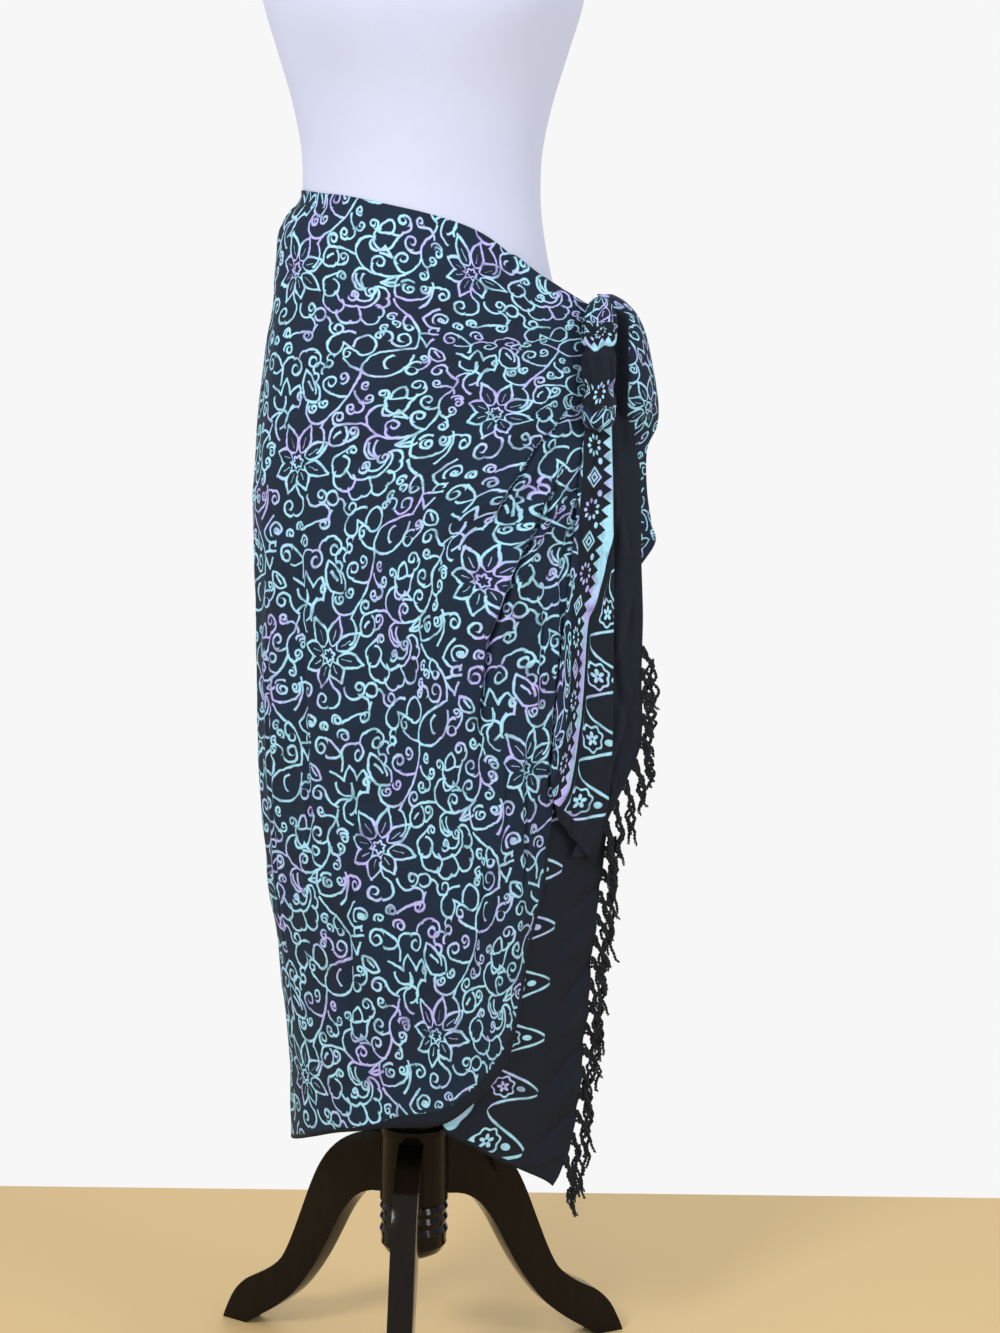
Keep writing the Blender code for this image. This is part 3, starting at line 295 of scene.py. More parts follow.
# The repeat's stems, leaves and clouds, charted from the middle of the big flower, x along the cloth
# and y down it. Each is a run of arcs: a point, a point on the way, the next point, and so on.
STEMS = (
    (87, -81, 75, -61, 52, -40, 40, -33, 34, -27, 37, -14, 27, -2), (67, -54, 57, -57, 46, -64),
    (21, -93, 14, -78, 17, -62), (21, -93, 29, -82, 31, -66), (17, -62, 23, -58, 31, -56),
    (22, -80, 25, -75, 27, -70), (44, -96, 33, -98, 31, -88, 36, -84, 32, -78, 36, -68, 34, -58),
    (20, -58, 17, -44, 38, -33), (78, -58, 79, -50, 86, -42), (83, -43, 83, -34, 76, -33),
    (52, -24, 68, -23, 86, -16), (51, -24, 44, -16, 43, -7, 52, -3, 60, -5, 64, -12, 63, -20),
    (49, -13, 52, -15, 56, -16), (60, -6, 66, -5, 72, -7),
    (105, -35, 91, -31, 87, -15, 96, -2, 112, 5, 134, 5, 150, -5, 155, -11, 157, -19),
    (112, 5, 104, 0, 104, -7), (140, 3, 130, -3, 128, -11),
    (112, -41, 117, -50, 127, -53, 128, -44, 126, -39), (112, -41, 119, -39, 126, -39),
    (107, -35, 109, -42, 113, -44), (126, -39, 132, -37, 138, -40),
    (107, -35, 121, -22, 126, -26, 131, -33, 138, -40),
    (107, -33, 103, -27, 104, -23, 112, -21, 118, -25, 122, -19, 125, -14, 118, -17, 113, -18),
    (138, -40, 145, -43, 147, -51), (143, -22, 150, -19, 155, -20),
    (157, -19, 160, -29, 168, -35, 173, -39, 180, -49), (157, -12, 161, -5, 168, -6),
    (160, -6, 163, -1, 163, 3), (97, -1, 82, 5, 83, 15, 87, 21, 94, 21), (94, 4, 91, 12, 93, 19),
    (104, 24, 96, 35, 82, 27), (86, 4, 86, 12, 91, 19),
    (68, 2, 58, 5, 50, 7, 44, 11, 43, 18, 47, 28, 58, 26, 63, 20, 58, 10),
    (60, 24, 66, 36, 84, 41, 98, 41, 107, 33, 109, 26, 106, 19),
    (45, 24, 44, 38, 50, 44, 60, 48, 67, 44, 69, 38, 67, 33),
    (60, 46, 64, 58, 76, 60, 85, 60, 89, 54, 88, 47, 86, 41), (89, 54, 98, 64, 108, 56, 113, 47, 107, 40),
    (107, 19, 117, 22, 118, 32, 117, 41, 108, 42), (131, 6, 124, 8, 112, 13, 121, 17, 131, 16),
    (116, 13, 121, 12, 126, 11), (131, 6, 126, 17, 126, 29, 139, 34, 150, 33, 160, 29, 164, 20),
    (134, 12, 140, 10, 146, 12), (124, 33, 128, 43, 135, 52), (138, 54, 144, 66, 147, 78),
    (137, 54, 132, 60, 133, 68, 137, 74, 141, 71), (8, 38, 13, 50, 23, 52, 31, 57, 31, 66),
    (32, 45, 41, 43, 46, 52), (32, 52, 39, 57, 46, 54), (46, 52, 50, 54, 53, 60),
    (-3, 15, -5, 28, 0, 37, 0, 47, -14, 53), (-4, 70, 8, 68, 30, 70, 32, 66, 35, 62),
    (-27, 81, -20, 89, -15, 101, -9, 94, 4, 95), (12, 95, 17, 90, 22, 89, 29, 88, 36, 92),
    (-15, 101, -16, 110, -19, 117), (-15, 101, -25, 103, -32, 100),
    (
        -32, 115, -26, 120, -19, 127, -15, 120, -9, 114, -6, 122, -4, 131, 2, 127, 9, 125, 10, 137, 6, 147,
        -2, 146, -9, 152,
    ),
    (-30, 128, -28, 138, -20, 143), (-12, 133, -14, 141, -18, 147),
    (-20, 143, -12, 148, -9, 152, -14, 160, -22, 163), (-37, 150, -30, 146, -20, 147),
    (50, 82, 56, 76, 82, 74), (50, 82, 50, 92, 59, 98),
    (68, 84, 66, 92, 57, 99, 50, 98, 49, 104, 54, 108, 49, 112, 43, 112, 40, 118),
    (68, 84, 75, 90, 84, 99), (80, 90, 86, 81, 97, 78, 103, 90, 96, 102, 89, 103, 83, 99),
    (68, 104, 75, 114, 86, 122), (86, 123, 92, 110, 112, 101), (86, 123, 112, 133, 138, 110),
    (111, 123, 110, 114, 119, 107), (112, 101, 126, 100, 141, 100, 145, 90, 147, 79),
    (118, 86, 118, 76, 108, 76), (147, 83, 150, 91, 152, 98, 156, 93, 160, 88),
    (147, 79, 156, 80, 166, 82), (154, 118, 151, 125, 141, 130, 132, 134, 131, 126, 137, 119, 144, 120),
    (167, 14, 160, 36, 150, 44), (171, 46, 160, 52, 153, 58, 158, 70, 168, 73),
    (-14, -40, -10, -52, -1, -60), (-24, -30, -30, -44, -22, -56, -14, -60, -12, -68),
    (-58, -102, -48, -95, -46, -83), (-58, -102, -59, -88, -46, -83), (-54, -97, -52, -92, -50, -88),
    (-44, -70, -42, -60, -35, -52), (-52, -46, -44, -44, -40, -34), (-52, 19, -44, 19, -38, 21),
    (-44, -28, -38, -30, -32, -24),
)
# Its scrolls wind in from their outer end: middle, radius, the outer end's angle and the sweep in degrees.
Curl = namedtuple("Curl", "x y radius start sweep")
CURLS = table(Curl, (
    (50, -72, 8.5, 120, 330), (39, -53, 5, 190, -300), (25, -51, 5, 200, -300), (10, -67, 4.5, 330, -290),
    (90, -46, 5, 150, -300), (72, -38, 5.6, 60, 310), (56, -31, 6.8, 120, 320), (71, -12, 5.6, 80, -320),
    (110, -8, 6.8, 170, 300), (135, -12, 7, 150, 300), (106, -48, 5, 60, -300), (140, -52, 6.6, 30, -310),
    (147, -29, 7.5, 100, 290), (169, -11, 5, 100, -300), (158, 4, 5, 320, 300), (100, 23, 5.5, 200, -310),
    (80, 28, 5.8, 150, -300), (67, 7, 5, 180, 300), (140, 19, 5.5, 220, -320), (158, 21, 5, 0, 350),
    (25, 44, 6.5, 100, -310), (24, 72, 6, 340, 310), (60, 66, 8, 210, -330), (-19, 44, 8, 80, 300),
    (-10, 66, 5, 180, 350), (-34, 88, 8.5, 330, -340), (5, 104, 8.8, 270, 320), (32, 100, 8.2, 300, 320),
    (74, 98, 6.5, 330, -300), (128, 86, 9.5, 160, -320), (122, 55, 5, 320, -290), (124, 65, 4.5, 60, -270),
    (113, 70, 4.6, 300, -280), (108, 79, 4.6, 330, -290), (163, 78, 6, 180, 170),
    (148, 116, 4.5, 90, -300), (171, 62, 8.5, 160, 320), (172, 62, 3, 0, 350), (-26, 70, 5, 180, 300),
    (-52, -69, 8, 0, -310), (-56, -51, 5, 60, 310), (-38, 28, 7, 270, 320), (-38, -21, 5, 250, 300),
    (66, -76, 6, 110, -300), (-7, 83, 6.5, 200, 320), (90, -62, 4.5, 90, 300),
))
# A scroll's two arcs, as shares of its sweep, and the inner one's share of its radius.
OUTER_SWEEP, INNER_SWEEP, INNER_SIZE = 0.56, 0.60, 0.60
# The border's petals: from the plain band inwards, and half their breadth.
PETAL = (
    (44, 0), (47, 2.5), (52, 5.5), (59, 8.5), (67, 11), (76, 14), (86, 18), (92, 21.5), (96, 26), (98, 32),
)
PETAL_HALF = 30.0  # half the pitch of petals, diamonds and dot rings
# Where the plain band and the petals end, how far the teeth reach, the diamonds' middle and where the
# scrolls begin, each in from the fringed end.
PLAIN_BAND, PETAL_BASE, TEETH, DIAMONDS, PRINT_EDGE = 46.0, 112.0, 125.0, 151.0, 168.0
SHARP = 1.4  # how steeply wax turns to dye, a mm


# ---------------------------------------------------------------- curves
def smooth_step(low, high, at):
    share = min(1.0, max(0.0, (at - low) / (high - low)))
    return share * share * (3 - 2 * share)


def hermite(start, end, leave, arrive, t):
    """A smooth curve from start to end, with its slopes there; numbers and vectors alike."""
    return (
        start * (2 * t**3 - 3 * t**2 + 1) + leave * (t**3 - 2 * t**2 + t)
        + end * (3 * t**2 - 2 * t**3) + arrive * (t**3 - t**2)
    )


def curve_value(rows, column, at):
    """The column's value where a table's first column is at, on a smooth curve through its rows."""
    keys = [row[0] for row in rows]
    values = [getattr(row, column) for row in rows]
    if keys[0] > keys[-1]:
        keys.reverse()
        values.reverse()
    if at <= keys[0]:
        return values[0]
    if at >= keys[-1]:
        return values[-1]
    last = len(keys) - 1
    k = max(i for i in range(last) if keys[i] <= at)

    def slope(i):
        low, high = max(i - 1, 0), min(i + 1, last)
        return (values[high] - values[low]) / (keys[high] - keys[low])

    span = keys[k + 1] - keys[k]
    return hermite(values[k], values[k + 1], slope(k) * span, slope(k + 1) * span, (at - keys[k]) / span)


def along_rows(rows, column, at):
    """The column's value at a fractional row number."""
    k = min(int(at), len(rows) - 2)
    a, b, c, d = (getattr(rows[min(max(i, 0), len(rows) - 1)], column) for i in range(k - 1, k + 3))
    return hermite(b, c, (c - a) / 2, (d - b) / 2, at - k)


def bell(away, breadth):
    return exp(-((away / breadth) ** 2))


# ---------------------------------------------------------------- the round of form and skirt
def round_point(half_width, depth, angle, out=0.0):
    """A point on an ellipse round the pole's axis, moved out along its normal."""
    x, y = half_width * cos(angle), depth * sin(angle)
    nx, ny = cos(angle) / half_width, sin(angle) / depth
    size = hypot(nx, ny)
    return x + out * nx / size, y + out * ny / size


def form_size(height, behind):
    """The form's half width, and its depth behind or before the pole's axis."""
    tall = height / MM
    half = curve_value(FORM_RINGS, "half_width", tall) * MM
    return half, curve_value(FORM_RINGS, "back" if behind else "front", tall) * MM


def form_point(height, angle):
    half, depth = form_size(height, sin(angle) > 0)
    push = 0.0
    for side in (-1, 1):
        turn = (angle - 1.5 * pi - side * BUST["angle"] + pi) % tau - pi
        push += BUST["push"] * bell(turn, BUST["wide"]) * bell(height - BUST["height"], BUST["tall"])
    x, y = round_point(half, depth, angle, push)
    lean = NECK_LEAN * smooth_step(1.66, 1.78, height)
    return Vector((x, y - lean, height))


@lru_cache(maxsize=None)
def skirt_size(height, angle):
    """The skirt's half width and depth on the side where this angle lies."""
    tall = height / MM
    half = curve_value(SKIRT, "right" if cos(angle) > 0 else "left", tall) * MM
    return half, curve_value(SKIRT, "back" if sin(angle) > 0 else "front", tall) * MM


def skirt_point(height, angle, out):
    """A point of the skirt's round, so far out from it."""
    half, depth = skirt_size(height, angle)
    x, y = round_point(half, depth, angle, out)
    return Vector((x, y, height))


@lru_cache(maxsize=None)
def flap_frame(height):
    """Where the hanging ends leave the skirt, the way they run, and the way they face."""
    half, depth = skirt_size(height, FLAP_ANGLE)
    corner = Vector((half * cos(FLAP_ANGLE), depth * sin(FLAP_ANGLE), height))
    along = Vector((-half * sin(FLAP_ANGLE), depth * cos(FLAP_ANGLE), 0)).normalized()
    return corner, along, Vector((along.y, -along.x, 0))


def flap_point(across, height, out):
    """A point of a hanging end, by its distance to the form's left of the pole's axis."""
    corner, along, facing = flap_frame(height)
    if across >= corner.x:
        return corner + along * ((across - corner.x) / along.x) + facing * out
    half = skirt_size(height, FLAP_ANGLE)[0]
    angle = tau - atan2(sqrt(max(0.0, 1 - (across / half) ** 2)), across / half)
    return skirt_point(height, angle, out)


def clear_of_form(point):
    """The cloth keeps just outside the form where it rests on it."""
    if point.z < FORM_RINGS[0].height * MM:
        return point
    half, depth = form_size(point.z, point.y > 0)
    gap = CLOTH_WALL / 2 + SEAT_GAP
    reach = hypot(point.x / (half + gap), point.y / (depth + gap))
    if reach >= 1:
        return point
    return Vector((point.x / reach, point.y / reach, point.z))


# ---------------------------------------------------------------- folds
def crease_push(angle, height):
    """How far the main creases push the cloth out or in here."""
    push = 0.0
    here = Vector((angle * CREASE_GIRTH, height))
    for crease in CREASES:
        start = Vector((radians(crease.angle) * CREASE_GIRTH, crease.height * MM))
        run = Vector((radians(crease.to_angle) * CREASE_GIRTH, crease.to_height * MM)) - start
        share = min(1.0, max(0.0, (here - start).dot(run) / run.length_squared))
        fade = smooth_step(0.0, 0.22, share) * (1 - smooth_step(0.55, 1.0, share) * 0.85)
        push += crease.depth * MM * fade * bell((here - start - run * share).length, crease.breadth * MM)
    return push


FoldLine = namedtuple("FoldLine", "fold runs left right low high")


def fold_lines():
    """Each fine fold's straight runs, and the box they fill, in mm along and up the skirt."""
    lines = []
    for fold in FINE_FOLDS:
        points = [(radians(angle) * CREASE_GIRTH / MM, height) for angle, height in fold.path]
        runs = [(*a, b[0] - a[0], b[1] - a[1]) for a, b in zip(points, points[1:])]
        along, up = zip(*points)
        lines.append(FoldLine(fold, runs, min(along), max(along), min(up), max(up)))
    return lines


FOLD_LINES = fold_lines()


def folds_near(angle, height, least=0.0):
    """The fine folds near this point: how far off each is, on which side, its strength and its run."""
    x, z = angle * CREASE_GIRTH / MM, height / MM
    for fold, runs, left, right, low, high in FOLD_LINES:
        far = max(5.0 * max(fold.below, fold.above), least)
        if not (left - far < x < right + far and low - far < z < high + far):
            continue
        best = None
        for k, (start_x, start_z, dx, dz) in enumerate(runs):
            px, pz = x - start_x, z - start_z
            along = min(1.0, max(0.0, (px * dx + pz * dz) / (dx * dx + dz * dz)))
            away = hypot(px - along * dx, pz - along * dz)
            if best is None or away < best[0]:
                best = away, px * dz - pz * dx, (k + along) / len(runs), dx, dz
        away, side, share, dx, dz = best
        fade = smooth_step(0.0, 0.2, share) * (1 - smooth_step(0.65, 1.0, share))
        if away < far and fade > 0:
            yield fold, away, side, fade, dx, dz


def fold_push(angle, height):
    """How far the cloth stands out or in here, from the fine folds near this point."""
    push = 0.0
    for fold, away, side, fade, _, _ in folds_near(angle, height):
        breadth = fold.above if side > 0 else fold.below
        push += fold.depth * fade * bell(away, breadth)
        if fold.depth < -2:
            push -= SHOULDER * fold.depth * fade * bell(away, SHOULDER_BREADTH * breadth)
    return push * MM


def drawn_in(angle, height):
    """How far the print here is moved by what the troughs nearby swallow, as (along, down)."""
    aside = below = 0.0
    for fold, away, side, fade, dx, dz in folds_near(angle, height, 2.4 * SWALLOW_REACH):
        if fold.depth < -2.2:
            taken = -SWALLOWED * fold.depth * fade * tanh(away / 4) * bell(away, SWALLOW_REACH)
            taken *= (MM if side > 0 else -MM) / hypot(dx, dz)
            aside += taken * dz
            below += taken * dx
    return aside, below


def slant_push(point, slants):
    push = 0.0
    for slant in slants:
        dx, dz = slant.to_across - slant.across, slant.to_height - slant.height
        px, pz = point.x / MM - slant.across, point.z / MM - slant.height
        share = (px * dx + pz * dz) / (dx * dx + dz * dz)
        away = abs(px * dz - pz * dx) / hypot(dx, dz)
        fade = smooth_step(-0.35, 0.25, share) * smooth_step(1.35, 0.75, share)
        if away < 3 * slant.breadth and fade > 0:
            push += slant.push * MM * fade * bell(away, slant.breadth)
    return push


def rumple(across, height, seed):
    """Small soft unevenness of worn rayon."""
    spots = ((rise, Vector((across * rate, height * rate * 0.7, seed))) for rate, rise in RUMPLE)
    return sum(rise * MM * noise.noise(spot) for rise, spot in spots)


# ---------------------------------------------------------------- pieces
def new_piece(name, shape, finish, stands_for, sharp=40):
    """The shape as an object of its own, riding on the stand and standing for its solid."""
    mesh = bpy.data.meshes.new(name)
    shape.to_mesh(mesh)
    shape.free()
    mesh.materials.append(finish)
    mesh.transform(Matrix.Translation(POLE))
    mesh.shade_smooth()
    mesh.set_sharp_from_angle(angle=radians(sharp))
    piece = bpy.data.objects.new(name, mesh)
    bpy.context.scene.collection.objects.link(piece)
    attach(piece, "root")
    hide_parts(*stands_for)
    return piece


def cloth_piece(name, place, columns, rows, finish, stands_for, cloth_at, edge_at):
    """A sheet laid by place(u, v), with its print's and its border's maps."""
    shape = bmesh.new()
    bmesh.ops.create_grid(shape, x_segments=columns, y_segments=rows, size=0.5)
    spots = [(vertex.co.x + 0.5, 0.5 - vertex.co.y) for vertex in shape.verts]
    shape.verts.index_update()
    for layer_name, map_at in (("cloth", cloth_at), ("edge", edge_at)):
        flat = [map_at(u, v) for u, v in spots]
        layer = shape.loops.layers.uv.new(layer_name)
        for face in shape.faces:
            for loop in face.loops:
                loop[layer].uv = flat[loop.vert.index]
    for vertex, (u, v) in zip(shape.verts, spots):
        vertex.co = place(u, v)
    piece = new_piece(name, shape, finish, stands_for, sharp=75)
    thick = piece.modifiers.new("cloth thickness", "SOLIDIFY")
    thick.thickness = FINE_WALL
    thick.offset = 0.0
    thick.use_even_offset = True
    return piece


# ---------------------------------------------------------------- the long stretch
def girth_table():
    """Distance round the skirt at hip height, from the wrap's hidden start, at each degree."""
    total, distances, last = 0.0, {}, None
    for step in range(-45, 361):
        here = skirt_point(HIP_HEIGHT, radians(step), 0.0)
        if step > FLAP_DEGREES:
            total += radians(1) * skirt_size(HIP_HEIGHT, FLAP_ANGLE)[0] * FLAP_GIRTH
        elif last is not None:
            total += (here - last).length
        last = here
        distances[step] = total
    return distances


GIRTH_TO = girth_table()


def girth_to(angle):
    turn = min(359.99, max(-45.0, degrees(angle)))
    low = int(turn // 1)
    return GIRTH_TO[low] + (GIRTH_TO[low + 1] - GIRTH_TO[low]) * (turn - low)


@lru_cache(maxsize=None)
def wrap_spot(u, v):
    """Angle, height, share past the flap angle, and height above the hem, of a spot of the wrap."""
    past = max(0.0, (u - 1 + END_SHARE) / END_SHARE)
    if u < SIDE_SHARE:
        angle = WRAP_START + (WRAP_SIDE - WRAP_START) * u / SIDE_SHARE
    else:
        share = min(1.0, (u - SIDE_SHARE) / (1 - SIDE_SHARE - END_SHARE))
        angle = WRAP_SIDE + (FLAP_ANGLE - WRAP_SIDE) * share
    top = curve_value(EDGES, "top", degrees(angle) + END_SPREAD * past)
    hem = curve_value(EDGES, "hem", degrees(angle)) + END_RISE * past**1.6
    return angle, (top + (hem - top) * v) * MM, past, (top - hem) * (1 - v) * MM


def panel_run(height, past):
    """How far across a spot past the flap angle lies, and how far along the panel from that angle."""
    end = curve_value(PANEL_END, "across", height / MM) * MM
    corner, along, _ = flap_frame(height)
    aside = (end - corner.x) * past
    return corner.x + aside, aside / along.x


def wrap_along(u, v):
    """Distance along the cloth from the wrap's hidden start."""
    angle, height, past, _ = wrap_spot(u, v)
    return girth_to(angle) + (panel_run(height, past)[1] if past > 0 else 0.0)


def wrap_place(u, v):
    """From under the knot round the back, and over the front to the knot."""
    angle, height, past, _ = wrap_spot(u, v)
    near_top = 1 - smooth_step(0.0, SNUG_SHARE, v)
    layer = FRONT_LIFT * smooth_step(radians(205), radians(285), angle)
    layer -= START_DROP * (1 - smooth_step(radians(-38), radians(-8), angle))
    layer -= SNUG * near_top * (1 - past)
    if past > 0:
        across, run = panel_run(height, past)
        angle = FLAP_ANGLE + run / (skirt_size(height, FLAP_ANGLE)[0] * FLAP_GIRTH)
    loose = LOOSE - (LOOSE - 1) * smooth_step(radians(284), radians(304), angle)
    fine = fold_push(angle, height) + rumple(girth_to(angle), height, 3.7) * loose
    push = layer + crease_push(angle, height) + fine * (1 - 0.65 * near_top)
    if past > 0:
        point = flap_point(across, height, max(push, FRONT_LIFT - 1.4 * MM))
    else:
        point = skirt_point(height, angle, push)
    return clear_of_form(point)


def on_print(along, down):
    """Where a spot of the skirt lies on the flat cloth, whose rows lean and swing as it hangs."""
    flower = PRINT_AT[0] * MM
    across = along - 0.075 * down - 0.17 * down * down
    lean = 0.30
    if across > flower:
        lean += 0.09 * smooth_step(0.25, 0.40, down) - 0.32 * (1 - smooth_step(0.08, 0.26, down))
        # cloth taken up by the crinkles under the knot
        taken = 0.048 * smooth_step(0.25, 0.38, down) * (1 - 0.3 * smooth_step(0.5, 0.7, down))
        across += taken * smooth_step(0.70, 0.84, across) - 0.007 * smooth_step(0.75, 0.84, across)
    return across, 1.02 * down + lean * (across - flower)


def wrap_cloth(u, v):
    """Flat place on the cloth: along its length, and down from its upper edge."""
    angle, height, past, _ = wrap_spot(u, v)
    if past > 0:
        angle += panel_run(height, past)[1] / CREASE_GIRTH
    aside, below = drawn_in(angle, height)
    return on_print(wrap_along(u, v) + aside, TOP_EDGE - height + below)


def panel_edge_run():
    """The front panel's lower edge and its left end: distance along, height, and the band turned in."""
    spots = [(SIDE_SHARE + (1 - SIDE_SHARE) * k / 160, 1.0) for k in range(161)]
    spots += [(1.0, 1.0 - 0.26 * (k + 1) / 70) for k in range(70)]
    run = []
    for u, v in spots:
        angle, height, _, _ = wrap_spot(u, v)
        wider = smooth_step(radians(248), radians(274), angle) * smooth_step(0.44, 0.37, height)
        run.append((wrap_along(u, v), height, HEM_BAND - THIN_BAND - WIDER_BAND * wider))
    return run


PANEL_RUN = panel_edge_run()


def wrap_edge(u, v):
    """Distance to the hem, and to a fringed end, which is far off here."""
    _, height, _, rise = wrap_spot(u, v)
    if u < SIDE_SHARE + 0.02 or rise > 0.30:
        return rise + HEM_BAND - THIN_BAND, 1.0
    here = wrap_along(u, v)
    return min(hypot(here - a, height - z) + turned_in for a, z, turned_in in PANEL_RUN), 1.0


def build_wrap(finish):
    return cloth_piece(
        "wrap", wrap_place, WRAP_COLUMNS, WRAP_ROWS, finish, ["sarong_wrap"],
        wrap_cloth, wrap_edge,
    )


# ---------------------------------------------------------------- the inner end
def inner_low(u):
    """The inner end's hem."""
    return INNER_HEM["start"] + (INNER_HEM["edge"] - INNER_HEM["start"]) * u ** INNER_HEM["curl"]


def inner_end_point(u, v):
    top = INNER_END[0].height * MM
    height = top + (inner_low(u) - top) * v
    left, right = (curve_value(INNER_END, column, height / MM) for column in ("start", "edge"))
    ripple = 2.5 * MM * u * sin(5.2 * u + 9.0 * height) * smooth_step(0.95, 0.6, 1 - v)
    return flap_point((left + (right - left) * u) * MM, height, INNER_LIFT + ripple)


def inner_place(u, v):
    point = inner_end_point(u, v)
    _, along, facing = flap_frame(point.z)
    over = curve_value(PANEL_END, "across", point.z / MM) * MM  # the front panel's edge over it
    bare = 0.15 + 0.85 * smooth_step(-0.002, 0.014, point.x - over)
    push = rumple(point.x, point.z, 9.1) * 0.8 + slant_push(point, INNER_SLANTS) * bare
    # its hidden start reaches a little further in under the front panel
    reach = max(0.0, 1 - u / 0.14) * smooth_step(0.44, 0.36, point.z)
    return point - (along * 12 + facing * 9) * MM * reach + facing * push * u


def build_inner_end(finish):
    def from_edge(u, v):
        return (inner_end_point(1.0, v).x - inner_end_point(u, v).x) * END_TURN

    def cloth(u, v):
        # the rows slope down to the corner, more towards the hem
        away, height = from_edge(u, v), inner_end_point(u, v).z
        slope = 0.08 + 0.52 * smooth_step(0.46, 0.30, height)
        return 1.75 - away, (TOP_EDGE - height) * 0.957 + 0.034 + slope * (min(away, 0.14) - 0.047)

    def edge(u, v):
        return inner_end_point(u, v).z - inner_low(u) + HEM_BAND - THIN_BAND, from_edge(u, v)

    return cloth_piece(
        "inner_end", inner_place, 66, 220, finish, ["sarong_inner_end"], cloth, edge,
    )


# ---------------------------------------------------------------- the outer end
def over_fold(left, fold, edge, share):
    """A value that runs from left to fold while share runs 0 to 1, and on to edge at 2."""
    return left + (fold - left) * share if share <= 1 else fold + (edge - fold) * (share - 1)


def outer_end_point(u, v):
    place = u * (len(OUTER_FOLDS) - 1)
    share, shift, lift = (along_rows(OUTER_FOLDS, name, place) for name in Fold._fields)
    top = OUTER_END[0].height * MM
    height = top + (over_fold(*OUTER_HEM, share) - top) * v
    tall = (top + (OUTER_HEM[2] - top) * v) / MM
    across = over_fold(*(curve_value(OUTER_END, name, tall) for name in ("left", "fold", "edge")), share)
    ease = 0.75 + 0.25 * sin(pi * min(1.0, v * 1.1))
    return flap_point((across + shift) * MM, height, OUTER_LIFT + lift * ease * MM)


def outer_place(u, v):
    point = outer_end_point(u, v)
    facing = flap_frame(point.z)[2]
    calm = smooth_step(0.0, 0.08, v)
    push = rumple(point.x * 1.4, point.z, 5.3) * 0.55
    # the pleats wander and open a little as they fall
    free = smooth_step(0.0, 0.3, v) * smooth_step(FOLD_AT, FOLD_AT - 0.2, u)
    push += 0.9 * MM * sin(30 * u + 7.0 * v) * free
    if u > FOLD_AT:
        push += slant_push(point, OUTER_SLANTS) * smooth_step(0.0, 0.12, u - FOLD_AT) * smooth_step(1.0, 0.93, u)
        # the plain part runs up into the dark beside the knot
        near_top = max(0.0, 1 - v / 0.10)
        push -= 12 * MM * near_top * smooth_step(FOLD_AT, FOLD_AT + 0.12, u)
        return point + Vector((0, 0, 22 * MM * near_top)) + facing * (push * max(calm, near_top))
    return point + facing * push * calm


def flat_from_edge(place, runs=80):
    """A function that gives a spot's distance from a hanging end's last edge, along its own surface."""

    @lru_cache(maxsize=None)
    def distances(v):
        points = [place(k / runs, v) for k in range(runs, -1, -1)]
        far = [0.0]
        for a, b in zip(points, points[1:]):
            far.append(far[-1] + (b - a).length)
        return far[::-1]

    def flat(u, v):
        far, k = distances(v), min(int(u * runs), runs - 1)
        return far[k] + (far[k + 1] - far[k]) * (u * runs - k)

    return flat


def build_outer_end(finish):
    flat = flat_from_edge(outer_end_point)

    def from_edge(u, v):
        point = outer_end_point(u, v)
        at_fold, near, turn, far = (curve_value(BORDER_LAY, name, point.z / MM) for name in Lay._fields[1:])
        if u <= FOLD_AT:
            aside = outer_end_point(FOLD_AT, v).x - point.x
            return at_fold * MM + near * min(aside, turn * MM) + far * max(0.0, aside - turn * MM)
        # behind the fold the band shows its plain outer part; the rest is tucked in
        here, open_part, folded = flat(u, v), flat(TUCK_AT, v), flat(FOLD_AT, v)
        if here < open_part:
            return min(here, 0.045)
        return open_part + (at_fold * MM - open_part) * ((here - open_part) / (folded - open_part)) ** 6

    def cloth(u, v):
        return 0.02 - from_edge(u, v), (TOP_EDGE - outer_end_point(u, v).z) * 0.89 - 0.0232

    def edge(u, v):
        share = along_rows(OUTER_FOLDS, "share", u * (len(OUTER_FOLDS) - 1))
        return outer_end_point(u, v).z - over_fold(*OUTER_HEM, share), from_edge(u, v)

    return cloth_piece(
        "outer_end", outer_place, 160, 180, finish, ["sarong_outer_end"], cloth, edge,
    )


# ---------------------------------------------------------------- the knot and its loop
def knot_shape(place):
    """Where a spot of a ball lies on the knot: fluted, and pinched where it is pulled tight."""
    turn, tall = atan2(place.y, place.x), place.z
    lean = turn + 0.5 * tall
    flutes = (0.09 + 0.08 * smooth_step(0.1, 0.7, tall)) * cos(KNOT_FLUTES * lean + 1.6 * tall)
    flutes = 1 + (flutes + 0.035 * cos(13 * lean - 5 * tall)) * (1 - tall * tall)
    pinch = 1 - 0.20 * bell(tall + 0.40, 0.10) - 0.22 * bell(tall - 0.17, 0.06)
    blunt = sqrt(max(0.0, 1 - abs(tall) ** (5 if tall > 0 else 16)))
    blunt /= max(1e-6, sqrt(max(1e-9, 1 - tall**2)))
    size = blunt * flutes * pinch if abs(tall) < 0.9999 else 0.0
    across = KNOT["across"] + KNOT["half_across"] * place.x * size
    out = KNOT["out"] - KNOT["half_out"] * place.y * size
    height = KNOT["height"] + KNOT["half_height"] * tall * (1.0 if tall > 0 else 1.14)
    return flap_point(across * MM, height * MM, out * MM)


